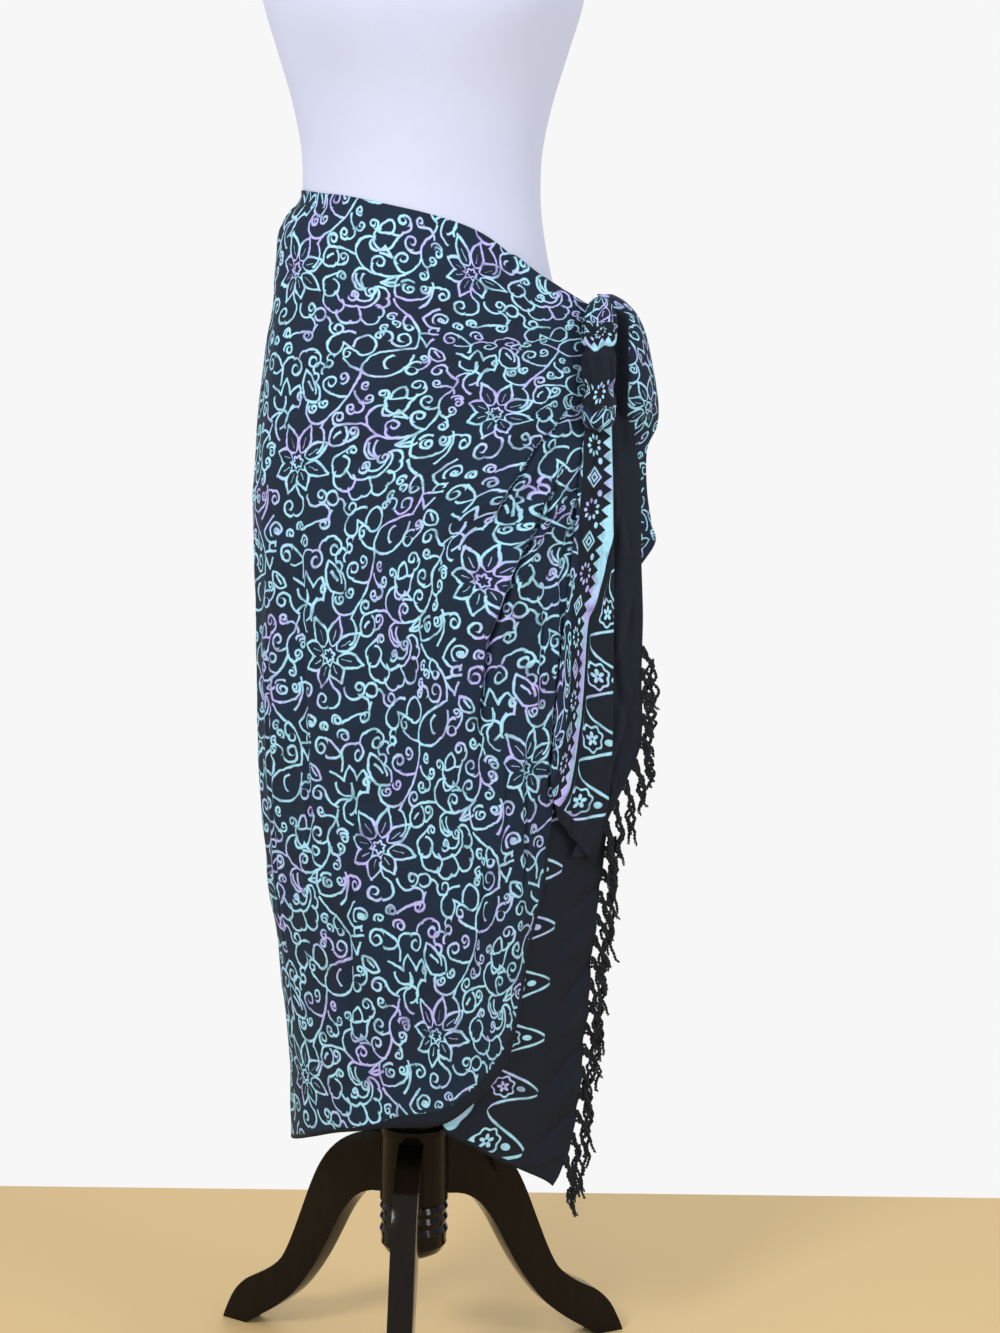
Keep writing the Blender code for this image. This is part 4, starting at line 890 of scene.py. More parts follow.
def build_knot(finish):
    """Cloth gathered in a fluted lump."""
    shape = bmesh.new()
    bmesh.ops.create_uvsphere(shape, u_segments=96, v_segments=72, radius=1.0)
    cloth_layer = shape.loops.layers.uv.new("cloth")
    edge_layer = shape.loops.layers.uv.new("edge")
    for face in shape.faces:
        middle = face.calc_center_median()
        for loop in face.loops:
            here = loop.vert.co
            turn = atan2(here.y, here.x)
            if here.x < 0 and middle.y < 0 < here.y + 1e-4 and abs(turn - pi) < 1e-3:
                turn = -pi
            # the border wraps round it: a band above, plain cloth in the middle, small marks below
            lift = here.z + 0.05 * sin(2 * turn) + 0.03 * sin(5 * turn + 1)
            loop[cloth_layer].uv = (0.17 - lift * 0.12, 0.322 + turn * 0.026)
            inward = 0.117 + (lift - 0.20) * 0.135 if lift > -0.1 else 0.140 - (lift + 0.30) * 0.075
            loop[edge_layer].uv = (0.0195 + 0.06 * max(lift - 0.20, -0.30 - lift), inward)
    for vertex in shape.verts:
        vertex.co = knot_shape(vertex.co)
    bmesh.ops.recalc_face_normals(shape, faces=shape.faces)
    return new_piece("knot", shape, finish, ["sarong_knot"], sharp=120)


def knot_loop_point(u, v):
    place = v * (len(KNOT_LOOP) - 1)
    height, left, right, out, bulge = (along_rows(KNOT_LOOP, name, place) for name in Loop._fields)
    arch = sin(pi * u) ** 0.8 if 0 < u < 1 else 0.0
    return flap_point((left + (right - left) * u) * MM, height * MM, (out + bulge * arch) * MM)


def loop_place(u, v):
    point = knot_loop_point(u, v)
    push = rumple(point.x * 1.6, point.z * 1.4, 2.2) * 0.9 * sin(pi * min(1, max(0, u)))
    push -= 9 * MM * bell(point.x - 0.212, 0.009) * smooth_step(1.215, 1.18, point.z)
    return point + flap_frame(point.z)[2] * push


def build_loop(finish):
    flat = flat_from_edge(knot_loop_point)

    def cloth(u, v):
        return 0.42 + 1.4 * flat(u, v), 1.3 * (TOP_EDGE - knot_loop_point(u, v).z)

    def edge(u, v):
        # a plain strip beside the knot, broad but for its top: the cloth's plain band, drawn broad enough that
        # its dark colour also serves as painted shade in the hollow between knot and loop
        point = knot_loop_point(u, v)
        plain_band_and_shade_strip = (189 + 34 * smooth_step(1.199, 1.184, point.z)) * MM
        return 0.0195 + point.x - plain_band_and_shade_strip, 1.0

    return cloth_piece(
        "knot_loop", loop_place, 48, 150, finish, ["sarong_knot_loop"], cloth, edge,
    )


# ---------------------------------------------------------------- fringe
def edge_walk(place, start, end, steps=400):
    """A sheet's fringed edge: its length, and a function that gives the point, the way out of the
    cloth and the way it faces at a distance down it."""
    fine = [place(1.0, start + (end - start) * k / steps) for k in range(steps + 1)]
    lengths = [0.0]
    for a, b in zip(fine, fine[1:]):
        lengths.append(lengths[-1] + (b - a).length)

    def at(distance):
        k = min(range(steps + 1), key=lambda i: abs(lengths[i] - distance))
        tangent = (fine[min(k + 6, steps)] - fine[max(k - 6, 0)]).normalized()
        _, along, facing = flap_frame(fine[k].z)
        return fine[k], (along - tangent * along.dot(tangent)).normalized(), facing

    return lengths[-1], at


def smooth_path(points, between):
    """A smooth line through a few points."""
    path = []
    for k in range(len(points) - 1):
        a, b, c, d = (points[min(max(k + i, 0), len(points) - 1)] for i in (-1, 0, 1, 2))
        path += [hermite(b, c, (c - a) / 2, (d - b) / 2, step / between) for step in range(between)]
    return path + [points[-1]]


def lay_yarn(curve, path, radius, taper=0.35):
    line = curve.splines.new("POLY")
    line.points.add(len(path) - 1)
    last = len(path) - 1
    for k, (spot, point) in enumerate(zip(line.points, path)):
        spot.co = (*point, 1)
        spot.radius = radius * (1 - taper * max(0.0, (k / last - 0.8) / 0.2))


def two_ply(curve, path, radius, turns):
    """A cord of two yarns wound round each other along the path."""
    side = Vector((0, 1, 0))
    plies = ([], [])
    for k, point in enumerate(path):
        way = (path[min(k + 1, len(path) - 1)] - path[max(k - 1, 0)]).normalized()
        side = (side - way * side.dot(way)).normalized()
        turn = tau * turns * k / (len(path) - 1)
        off = (side * cos(turn) + way.cross(side) * sin(turn)) * radius * 0.95
        plies[0].append(point + off)
        plies[1].append(point - off)
    for ply in plies:
        lay_yarn(curve, ply, radius)


def lay_lock(curve, at, spot, length, spread, rng):
    """A lock: four cords from the cloth's edge to a knot, then hanging down in loose curls."""
    root, out, facing = at(spot)
    down = Vector((0, 0, -1))
    knot_at = root + out * (10.5 + rng.uniform(-2.5, 3.0)) * MM
    knot_at += down * rng.uniform(7, 12) * MM + facing * rng.uniform(-1, 2) * MM
    for cord in range(LOCK_CORDS):
        start = at(spot + (cord - 1.5) * 3.4 * MM)[0]
        drift = out * rng.uniform(-0.35, spread) + facing * rng.uniform(-0.25, 0.4)
        points = [start - out * 1.0 * MM, start + out * 2.5 * MM]
        points += [start.lerp(knot_at, 0.62) + down * 0.8 * MM, knot_at]
        reach = length * rng.uniform(0.62, 1.08)
        curl, wind = rng.uniform(0, tau), rng.uniform(5.5, 10.5)
        for step in range(1, 13):
            share = step / 12
            swing = (1.6 + 2.6 * sin(pi * min(1, share * 1.2)) + rng.uniform(-0.7, 1.3)) * MM
            turn = curl + wind * share
            points.append(
                knot_at + down * reach * share + drift * reach * share * 0.28
                + out * swing * sin(turn) + facing * swing * 0.8 * cos(turn)
            )
        points[-1] += (out * rng.uniform(-2, 4) + down * rng.uniform(-3, 1)) * MM
        two_ply(curve, smooth_path(points, 4), YARN, reach / (5.5 * MM))
    # the knot that gathers them: one cord wound twice round
    turns = [
        knot_at + (out * cos(t * 0.9) + facing * sin(t * 0.9)) * 2.5 * MM + down * (t * 0.35 - 2.3) * MM
        for t in range(15)
    ]
    lay_yarn(curve, smooth_path(turns, 3), YARN * 1.2, 0)


def build_fringe(name, place, lengths, spread, stands_for, finish, seed):
    """Locks down the lower half of a sheet's edge, their lengths in mm running from first to last."""
    rng = Random(seed)
    curve = bpy.data.curves.new(name, "CURVE")
    curve.dimensions = "3D"
    curve.bevel_depth = 1.0
    curve.bevel_resolution = 1
    curve.use_fill_caps = True
    total, at = edge_walk(place, 0.50, 0.995)
    locks = int(total // LOCK_PITCH)
    for k in range(locks):
        share = k / max(1, locks - 1)
        length = (lengths[0] + (lengths[1] - lengths[0]) * share**3 + rng.uniform(-9, 9)) * MM
        lay_lock(curve, at, (k + 0.5) * LOCK_PITCH, length, spread, rng)
    carrier = bpy.data.objects.new(name + "_line", curve)
    bpy.context.scene.collection.objects.link(carrier)
    bpy.context.view_layer.update()
    mesh = bpy.data.meshes.new_from_object(carrier.evaluated_get(bpy.context.evaluated_depsgraph_get()))
    bpy.data.objects.remove(carrier)
    shape = bmesh.new()
    shape.from_mesh(mesh)
    bmesh.ops.remove_doubles(shape, verts=shape.verts, dist=1e-6)
    bmesh.ops.recalc_face_normals(shape, faces=shape.faces)
    return new_piece(name, shape, finish, stands_for, sharp=80)


# ---------------------------------------------------------------- the form and its stand
def build_dress_form(finish):
    shape = bmesh.new()
    rings = 97
    bmesh.ops.create_uvsphere(shape, u_segments=112, v_segments=rings, radius=1.0)
    low, high = FORM_RINGS[0].height * MM, FORM_RINGS[-1].height * MM
    for vertex in shape.verts:
        x, y, z = vertex.co
        if abs(z) > 0.99999:
            vertex.co = (0, -NECK_LEAN, high) if z > 0 else (0, 0, low)
            continue
        ring = round((pi / 2 + atan2(z, hypot(x, y))) / pi * rings) - 1
        share = ring / (rings - 2)
        share -= 0.10 * sin(tau * share) / tau * 2
        vertex.co = form_point(low + (high - low) * share, atan2(y, x) % tau)
    bmesh.ops.recalc_face_normals(shape, faces=shape.faces)
    return new_piece("dress_form", shape, finish, ["form_torso"], sharp=60)


def turned_piece(name, rows, finish, stands_for, segments, shift=Vector()):
    """A turned shape: the profile spun round its axis."""
    shape = bmesh.new()
    ring = [shape.verts.new((row.radius * MM, 0, row.height * MM)) for row in rows]
    line = [shape.edges.new(pair) for pair in zip(ring, ring[1:])]
    bmesh.ops.spin(
        shape, geom=ring + line, cent=(0, 0, 0), axis=(0, 0, 1), angle=tau, steps=segments, use_merge=True
    )
    bmesh.ops.remove_doubles(shape, verts=shape.verts, dist=1e-6)
    bmesh.ops.recalc_face_normals(shape, faces=shape.faces)
    bmesh.ops.translate(shape, verts=shape.verts, vec=shift)
    return new_piece(name, shape, finish, stands_for, sharp=32)


def smooth_line(rows, between=3):
    """Points on a smooth curve through an outline's rows."""
    places = [k / between for k in range((len(rows) - 1) * between + 1)]
    return [
        (along_rows(rows, "reach", at) * MM, max(0.0, along_rows(rows, "height", at) * MM)) for at in places
    ]


def build_leg(name, heading, finish, stands_for):
    """A sawn board on edge, S-shaped, its edges rounded over."""
    shape = bmesh.new()
    outline = smooth_line(LEG_TOP_EDGE) + smooth_line(LEG_UNDER_EDGE)
    corners = [shape.verts.new((max(x, HUB_FLAT * MM), -LEG_BOARD / 2 * MM, z)) for x, z in outline]
    face = shape.faces.new(corners)
    grown = bmesh.ops.extrude_face_region(shape, geom=[face])["geom"]
    bmesh.ops.translate(
        shape, verts=[g for g in grown if isinstance(g, bmesh.types.BMVert)], vec=(0, LEG_BOARD * MM, 0)
    )
    bmesh.ops.recalc_face_normals(shape, faces=shape.faces)
    round_over = [
        edge for edge in shape.edges
        if abs(edge.verts[0].co.y - edge.verts[1].co.y) < 1e-6
        and min(v.co.x for v in edge.verts) > (HUB_FLAT + 0.5) * MM
        and max(v.co.z for v in edge.verts) > 1e-5
    ]
    bmesh.ops.bevel(
        shape, geom=round_over, offset=LEG_ROUND * MM, offset_type="OFFSET", segments=4, profile=0.5,
        affect="EDGES", clamp_overlap=True, material=-1,
    )
    bmesh.ops.rotate(shape, verts=shape.verts, cent=(0, 0, 0), matrix=Matrix.Rotation(heading, 3, "Z"))
    return new_piece(name, shape, finish, stands_for)


def disc_rows(low, high, radius, edge, soft):
    """A round bar's or board's profile, its rims eased by edge mm in and soft mm down."""
    return table(Turning, (
        (high, 0), (high, radius - edge), (high - soft, radius),
        (low + soft, radius), (low, radius - edge), (low, 0),
    ))


def build_stand(lacquer, steel):
    turned_piece("column", COLUMN, lacquer, ["stand_column"], 96)
    top = FORM_RINGS[0].height - JOINT_GAP
    pole = disc_rows(COLUMN[0].height + JOINT_GAP, top - BOARD_THICK - JOINT_GAP, POLE_RADIUS, 0.6, 0.6)
    turned_piece("pole", pole, steel, ["stand_pole"], 64)
    board = disc_rows(top - BOARD_THICK, top, BOARD_RADIUS, 2, BOARD_EDGE)
    turned_piece("base_board", board, lacquer, ["form_base_board"], 96)
    for name, turn in (("front", 0), ("right", 120), ("left", 240)):
        build_leg("leg_" + name, radians(turn - 90) - TRIPOD_TURN, lacquer, ["stand_leg_" + name])


def build_neck_cap(lacquer):
    low = FORM_RINGS[-1].height + JOINT_GAP
    rows = [Turning(low + up, radius) for up, radius in CAP]
    turned_piece("neck_cap", rows, lacquer, ["form_neck_cap"], 80, Vector((0, -NECK_LEAN, 0)))


# ---------------------------------------------------------------- finishes
# The setting that a kind's second word names, where it isn't the operation.
SETTING_OF = {"Mix": "data_type", "TexWave": "bands_direction", "UVMap": "uv_map"}


def linear(hex_colour):
    """An sRGB hex colour as linear RGBA."""
    parts = [int(hex_colour[k : k + 2], 16) / 255 for k in (1, 3, 5)]
    return (*(c / 12.92 if c <= 0.04045 else ((c + 0.055) / 1.055) ** 2.4 for c in parts), 1.0)


def add_node(tree, kind, *inputs, **settings):
    """A node such as "Math.SINE", its inputs in order or, in one dict, by socket. Gives its output."""
    kind, _, choice = kind.partition(".")
    made = tree.nodes.new("ShaderNode" + kind)
    if choice:
        settings[SETTING_OF.get(kind, "operation")] = choice
    for name, value in settings.items():
        setattr(made, name, value)
    by_socket = inputs[0] if inputs and isinstance(inputs[0], dict) else dict(enumerate(inputs))
    for name, value in by_socket.items():
        if isinstance(value, bpy.types.NodeSocket):
            tree.links.new(value, made.inputs[name])
        else:
            made.inputs[name].default_value = value
    return next(output for output in made.outputs if output.enabled)


def new_finish(name, **sockets):
    """A material with these constants on its shader, and the function that adds its nodes."""
    made = bpy.data.materials.new(name)
    made.use_nodes = True
    for socket, value in sockets.items():
        made.node_tree.nodes["Principled BSDF"].inputs[socket.replace("_", " ")].default_value = value
    return made, partial(add_node, made.node_tree)


def wired(made, **sockets):
    """The material with these outputs linked to its shader."""
    for socket, output in sockets.items():
        shader = made.node_tree.nodes["Principled BSDF"]
        made.node_tree.links.new(output, shader.inputs[socket.replace("_", " ")])
    return made


def jersey_finish():
    # Cotton jersey pulled over a foam form: a bright, soft white with a faint cool cast, its knitted
    # wales and rows drawn 3 mm apart, three times coarser than the real ones, and a little fuzz.
    made, add = new_finish("white cotton jersey", Roughness=0.85, Sheen_Weight=0.12, Specular_IOR_Level=0.25)
    wales_round, row_pitch = 290.0, 3 * MM
    place = add("TexCoord").node.outputs["Object"]
    cloud = add("TexNoise", {"Vector": place, "Scale": 6.0, "Detail": 3.0})
    tone = add("Mix.RGBA", {0: cloud, 6: linear("#adb1c7"), 7: linear("#b7bacb")})
    x, y, z = add("SeparateXYZ", place).node.outputs
    wales = add("Math.SINE", add("Math.MULTIPLY", add("Math.ARCTAN2", y, x), wales_round))
    rows = add("Math.SINE", add("Math.MULTIPLY", z, tau / row_pitch))
    fuzz = add("TexNoise", {"Vector": place, "Scale": 900.0, "Detail": 2.0})
    height = add("Math.MULTIPLY_ADD", add("Math.MULTIPLY", wales, rows), 0.25, fuzz)
    bump = add("Bump", {"Strength": 0.25, "Distance": 0.0005, "Height": height})
    return wired(made, Base_Color=tone, Normal=bump)


def lacquer_finish():
    # Turned beech under sprayed black lacquer: near black with a warm depth, sharp highlights and the
    # spray's slight orange peel, about 2 mm from crest to crest.
    made, add = new_finish("black lacquered beech", Roughness=0.16, Specular_IOR_Level=0.13)
    place = add("TexCoord").node.outputs["Object"]
    streak = add("Mapping", {"Vector": place, "Scale": (1.0, 1.0, 0.2)})
    grain = add("TexNoise", {"Vector": streak, "Scale": 90.0, "Detail": 4.0})
    tone = add("Mix.RGBA", {0: grain, 6: linear("#0b0808"), 7: linear("#19120d")})
    dust = add("TexNoise", {"Vector": place, "Scale": 24.0, "Detail": 5.0})
    dull = add("Math.MULTIPLY_ADD", dust, 0.14, 0.03)
    peel = add("TexNoise", {"Vector": place, "Scale": 500.0, "Detail": 1.0})
    bump = add("Bump", {"Strength": 0.06, "Distance": 0.0004, "Height": peel})
    return wired(made, Base_Color=tone, Roughness=dull, Normal=bump)


def steel_finish():
    # Drawn steel tube: satin, with fine lines along it from the drawing die, 0.5 mm apart.
    made, add = new_finish("drawn steel tube", Metallic=1.0, Roughness=0.3, Base_Color=linear("#a9a9ad"))
    place = add("TexCoord").node.outputs["Object"]
    drawn = add("Mapping", {"Vector": place, "Scale": (1.0, 1.0, 0.01)})
    lines = add("TexNoise", {"Vector": drawn, "Scale": 2000.0, "Detail": 2.0})
    bump = add("Bump", {"Strength": 0.15, "Distance": 0.0001, "Height": lines})
    rub = add("TexNoise", {"Vector": place, "Scale": 30.0, "Detail": 3.0})
    return wired(made, Normal=bump, Roughness=add("Math.MULTIPLY_ADD", rub, 0.2, 0.2))


def yarn_finish():
    # Rayon yarn twisted two-ply and dyed with the cloth: blue-black, matt, its fibres showing as fine
    # lighter streaks along a ply.
    made, add = new_finish("twisted rayon yarn", Roughness=0.75, Sheen_Weight=0.08, Specular_IOR_Level=0.2)
    place = add("TexCoord").node.outputs["Object"]
    fibre = add("TexNoise", {"Vector": place, "Scale": 700.0, "Detail": 3.0})
    tone = add("Mix.RGBA", {0: fibre, 6: linear("#07090c"), 7: linear("#161b22")})
    bump = add("Bump", {"Strength": 0.4, "Distance": 0.0003, "Height": fibre})
    return wired(made, Base_Color=tone, Normal=bump)


# ---------------------------------------------------------------- the print
def arc_ring(start, through, end):
    """The circle through three points, with the middle of the arc and how far its ends lie from it."""
    (x1, y1), (x2, y2), (x3, y3) = start, through, end
    bend = 2 * (x1 * (y2 - y3) + x2 * (y3 - y1) + x3 * (y1 - y2))
    if abs(bend) < 0.5:
        bend = 0.5
    a, b, c = x1 * x1 + y1 * y1, x2 * x2 + y2 * y2, x3 * x3 + y3 * y3
    centre = Vector(((a * (y2 - y3) + b * (y3 - y1) + c * (y1 - y2)) / bend,
                     (a * (x3 - x2) + b * (x1 - x3) + c * (x2 - x1)) / bend))
    turns = [atan2(point[1] - centre.y, point[0] - centre.x) for point in (start, through, end)]
    radius = (Vector(start) - centre).length
    first, second = ((b - a + pi) % tau - pi for a, b in zip(turns, turns[1:]))
    turn = turns[0] + (first + second) / 2
    middle = centre + Vector((cos(turn), sin(turn))) * radius
    return centre, radius, middle, 2 * radius * sin((abs(first) + abs(second)) / 4)


def curl_rings(curl):
    """A scroll as two arcs, the inner one tighter and running on from the outer one."""
    joint = radians(curl.start + curl.sweep * OUTER_SWEEP)
    rings = []
    for share, size, begin in (
        (OUTER_SWEEP, curl.radius, radians(curl.start)), (INNER_SWEEP, curl.radius * INNER_SIZE, joint),
    ):
        turn = begin + radians(curl.sweep) * share / 2
        at = Vector((curl.x, curl.y)) + Vector((cos(joint), sin(joint))) * (curl.radius - size)
        middle = at + Vector((cos(turn), sin(turn))) * size
        rings.append((at, size, middle, 2 * size * sin(radians(abs(curl.sweep)) * share / 4)))
    return rings


def ring_windows():
    """The repeat's arcs, each as centre, radius, middle and reach, by the window that holds it whole."""
    rings = []
    for stem in STEMS:
        points = list(zip(stem[::2], stem[1::2]))
        rings += [arc_ring(*points[k : k + 3]) for k in range(0, len(points) - 2, 2)]
    for curl in CURLS:
        rings += curl_rings(curl)
    half = Vector(CELL) / 2
    windows = {(x, y): [] for x in (0, half.x) for y in (0, half.y)}

    def off(middle, window):
        return Vector([(m - w + h) % (2 * h) - h for m, w, h in zip(middle, window, half)])

    for centre, radius, middle, reach in rings:
        window = min(windows, key=lambda at: off(middle, at).length)
        spot = Vector(window) + off(middle, window)
        windows[window].append((spot + centre - middle, radius, spot, reach))
    return windows


def nearest_arc(add, place):
    """Distance to the repeat's nearest arc, worked out three arcs at a time, and the place in the repeat."""
    nearest = home = None
    for (x, y), held in ring_windows().items():
        low, high = (x - CELL[0] / 2, y - CELL[1] / 2, -1), (x + CELL[0] / 2, y + CELL[1] / 2, 1)
        here = add("VectorMath.WRAP", place, high, low)
        home = home or here
        for k in range(0, len(held), 3):
            three = (held[k : k + 3] * 3)[:3]
            centres, radii, middles, reaches = zip(*three)
            away, ends = (
                add("CombineXYZ", *(add("VectorMath.DISTANCE", here, (*spot, 0)) for spot in spots))
                for spots in (centres, middles)
            )
            away = add("VectorMath.ABSOLUTE", add("VectorMath.SUBTRACT", away, radii))
            away = add("VectorMath.MAXIMUM", away, add("VectorMath.SUBTRACT", ends, reaches))
            nearest = away if nearest is None else add("VectorMath.MINIMUM", nearest, away)
    x, y, z = add("SeparateXYZ", nearest).node.outputs
    return add("Math.MINIMUM", add("Math.MINIMUM", x, y), z), home


def flower_lines(add, home):
    """The big flower: distances to eight pointed petals, to their veins, and to the ring they stand round."""
    x, y, _ = add("SeparateXYZ", home).node.outputs
    away = add("VectorMath.LENGTH", home)
    turn = add("Math.ARCTAN2", y, x)
    fold = add("Math.WRAP", add("Math.ADD", turn, 0.22), pi / 8, -pi / 8)
    swell = add("Math.MULTIPLY_ADD", add("Math.SINE", add("Math.ADD", turn, 2.0)), 0.16, 1.0)
    swell = add("Math.MULTIPLY_ADD", add("Math.SINE", add("Math.MULTIPLY_ADD", turn, 3.0, 0.6)), 0.10, swell)
    out = add("Math.DIVIDE", add("Math.MULTIPLY", away, add("Math.COSINE", fold)), swell)
    across = add("Math.ABSOLUTE", add("Math.MULTIPLY", away, add("Math.SINE", fold)))
    share = add("Math.MULTIPLY_ADD", out, 1 / 28, -9 / 28, use_clamp=True)
    share = add("Math.MULTIPLY", add("Math.POWER", share, 0.75), pi)
    breadth = add("Math.MULTIPLY", add("Math.SINE", share), 8.0)
    petal = add("Math.MULTIPLY", add("Math.ABSOLUTE", add("Math.SUBTRACT", across, breadth)), 0.85)
    beyond = add("Math.SUBTRACT", add("Math.ABSOLUTE", add("Math.SUBTRACT", out, 23.5)), 13.5)
    along = add("Math.SUBTRACT", add("Math.ABSOLUTE", add("Math.SUBTRACT", out, 19)), 4.0)
    wave = add("Math.MULTIPLY_ADD", add("Math.COSINE", add("Math.MULTIPLY", turn, 6)), 1.0, 5.5)
    return (
        add("Math.MAXIMUM", petal, beyond),
        add("Math.MAXIMUM", add("Math.ADD", across, 0.9), along),
        add("Math.ABSOLUTE", add("Math.SUBTRACT", away, wave)),
    )


def petal_lines(add, inward, down, place_x):
    """The border's petals: distances to their rim, to a medallion with a small flower, and to a bud."""
    outline = add("FloatCurve", {"Value": add("Math.MULTIPLY", inward, 0.01)})
    shape = outline.node.mapping.curves[0]
    for x, y in PETAL:
        shape.points.new(x / 100, y / 100)
    shape.points[0].location = (0, 0)
    outline.node.mapping.update()
    outline = add("Math.MULTIPLY", outline, 100.0)
    # the petals of the outer end, the only border on the cloth's first half metre, lean down
    lean = add("Math.MULTIPLY", add("Math.LESS_THAN", place_x, 500.0), -0.75)
    aside = add("Math.MULTIPLY_ADD", add("Math.SUBTRACT", PETAL_HALF, outline), lean, down)
    aside = add("Math.WRAP", aside, PETAL_HALF, -PETAL_HALF)
    rim = add("Math.ABSOLUTE", add("Math.SUBTRACT", add("Math.ABSOLUTE", aside), outline))
    beyond = add("Math.MAXIMUM", add("Math.SUBTRACT", 47.5, inward), add("Math.SUBTRACT", inward, PETAL_BASE))
    rim = add("Math.MAXIMUM", add("Math.MULTIPLY", rim, 0.8), beyond)
    # seven scallops round a flower of five petals, whose eye stays dark
    x = add("Math.SUBTRACT", inward, 86.0)
    away = add("Math.SQRT", add("Math.MULTIPLY_ADD", aside, aside, add("Math.MULTIPLY", x, x)))
    turn = add("Math.ARCTAN2", aside, x)
    scallops = add("Math.MULTIPLY_ADD", add("Math.COSINE", add("Math.MULTIPLY", turn, 7)), 1.1, 11.5)
    medallion = add("Math.ABSOLUTE", add("Math.SUBTRACT", away, scallops))
    rose = add("Math.ABSOLUTE", add("Math.COSINE", add("Math.MULTIPLY", turn, 2.5)))
    rose = add("Math.SUBTRACT", away, add("Math.MULTIPLY_ADD", rose, 5.0, 2.0))
    rose = add("Math.MAXIMUM", rose, add("Math.SUBTRACT", 1.2, away))
    x, y = add("Math.SUBTRACT", inward, 66.0), add("Math.MULTIPLY", aside, 1.6)
    bud = add("Math.SQRT", add("Math.MULTIPLY_ADD", y, y, add("Math.MULTIPLY", x, x)))
    bud = add("Math.SUBTRACT", bud, 4.6)
    return rim, medallion, add("Math.ADD", rose, 1.2), add("Math.ADD", bud, 0.6)


def diamond_lines(add, inward, down):
    """The border's row of diamonds and rings of dots by turns, with a dot between them."""
    spot = add("Math.WRAP", down, PETAL_HALF, -PETAL_HALF)
    x = add("Math.SUBTRACT", inward, DIAMONDS)
    aside = add("Math.ABSOLUTE", spot)
    taxi = add("Math.ADD", aside, add("Math.ABSOLUTE", x))
    diamond = add("Math.SUBTRACT", add("Math.PINGPONG", add("Math.ADD", taxi, 1.0), 2.5), 0.2)
    diamond = add("Math.MAXIMUM", diamond, add("Math.SUBTRACT", taxi, 11.0))
    far = add("Math.SUBTRACT", aside, PETAL_HALF)
    away = add("Math.SQRT", add("Math.MULTIPLY_ADD", far, far, add("Math.MULTIPLY", x, x)))
    beads = add("Math.COSINE", add("Math.MULTIPLY", add("Math.ARCTAN2", far, x), 9))
    dots = add("Math.MULTIPLY_ADD", beads, -1.6, add("Math.ABSOLUTE", add("Math.SUBTRACT", away, 8.0)))
    x, y = add("Math.SUBTRACT", aside, PETAL_HALF / 2), add("Math.SUBTRACT", inward, DIAMONDS - 9)
    between = add("Math.SQRT", add("Math.MULTIPLY_ADD", x, x, add("Math.MULTIPLY", y, y)))
    row = add("Math.MINIMUM", add("Math.MINIMUM", diamond, dots), add("Math.SUBTRACT", between, 2.0))
    return add("Math.MAXIMUM", row, add("Math.SUBTRACT", 139.5, inward))


def border_lines(add, flat, inward):
    """Distance to the border's lines along a fringed end: petals, a toothed band, diamonds and dots."""
    place_x, down, _ = add("SeparateXYZ", flat).node.outputs
    place_x, down = add("Math.ADD", place_x, PRINT_AT[0]), add("Math.ADD", down, PRINT_AT[1])
    petals, *others = petal_lines(add, inward, down, place_x)
    for lines in others:
        petals = add("Math.MINIMUM", petals, lines)
    # the solid band with its teeth towards the middle of the cloth
    teeth = add("Math.MULTIPLY_ADD", add("Math.PINGPONG", down, 6.3), 2.0, TEETH)
    band = add("Math.MAXIMUM", add("Math.SUBTRACT", inward, teeth), add("Math.SUBTRACT", 110.5, inward))
    border = add("Math.MINIMUM", petals, add("Math.ADD", band, 1.2))
    return add("Math.MINIMUM", border, diamond_lines(add, inward, down))


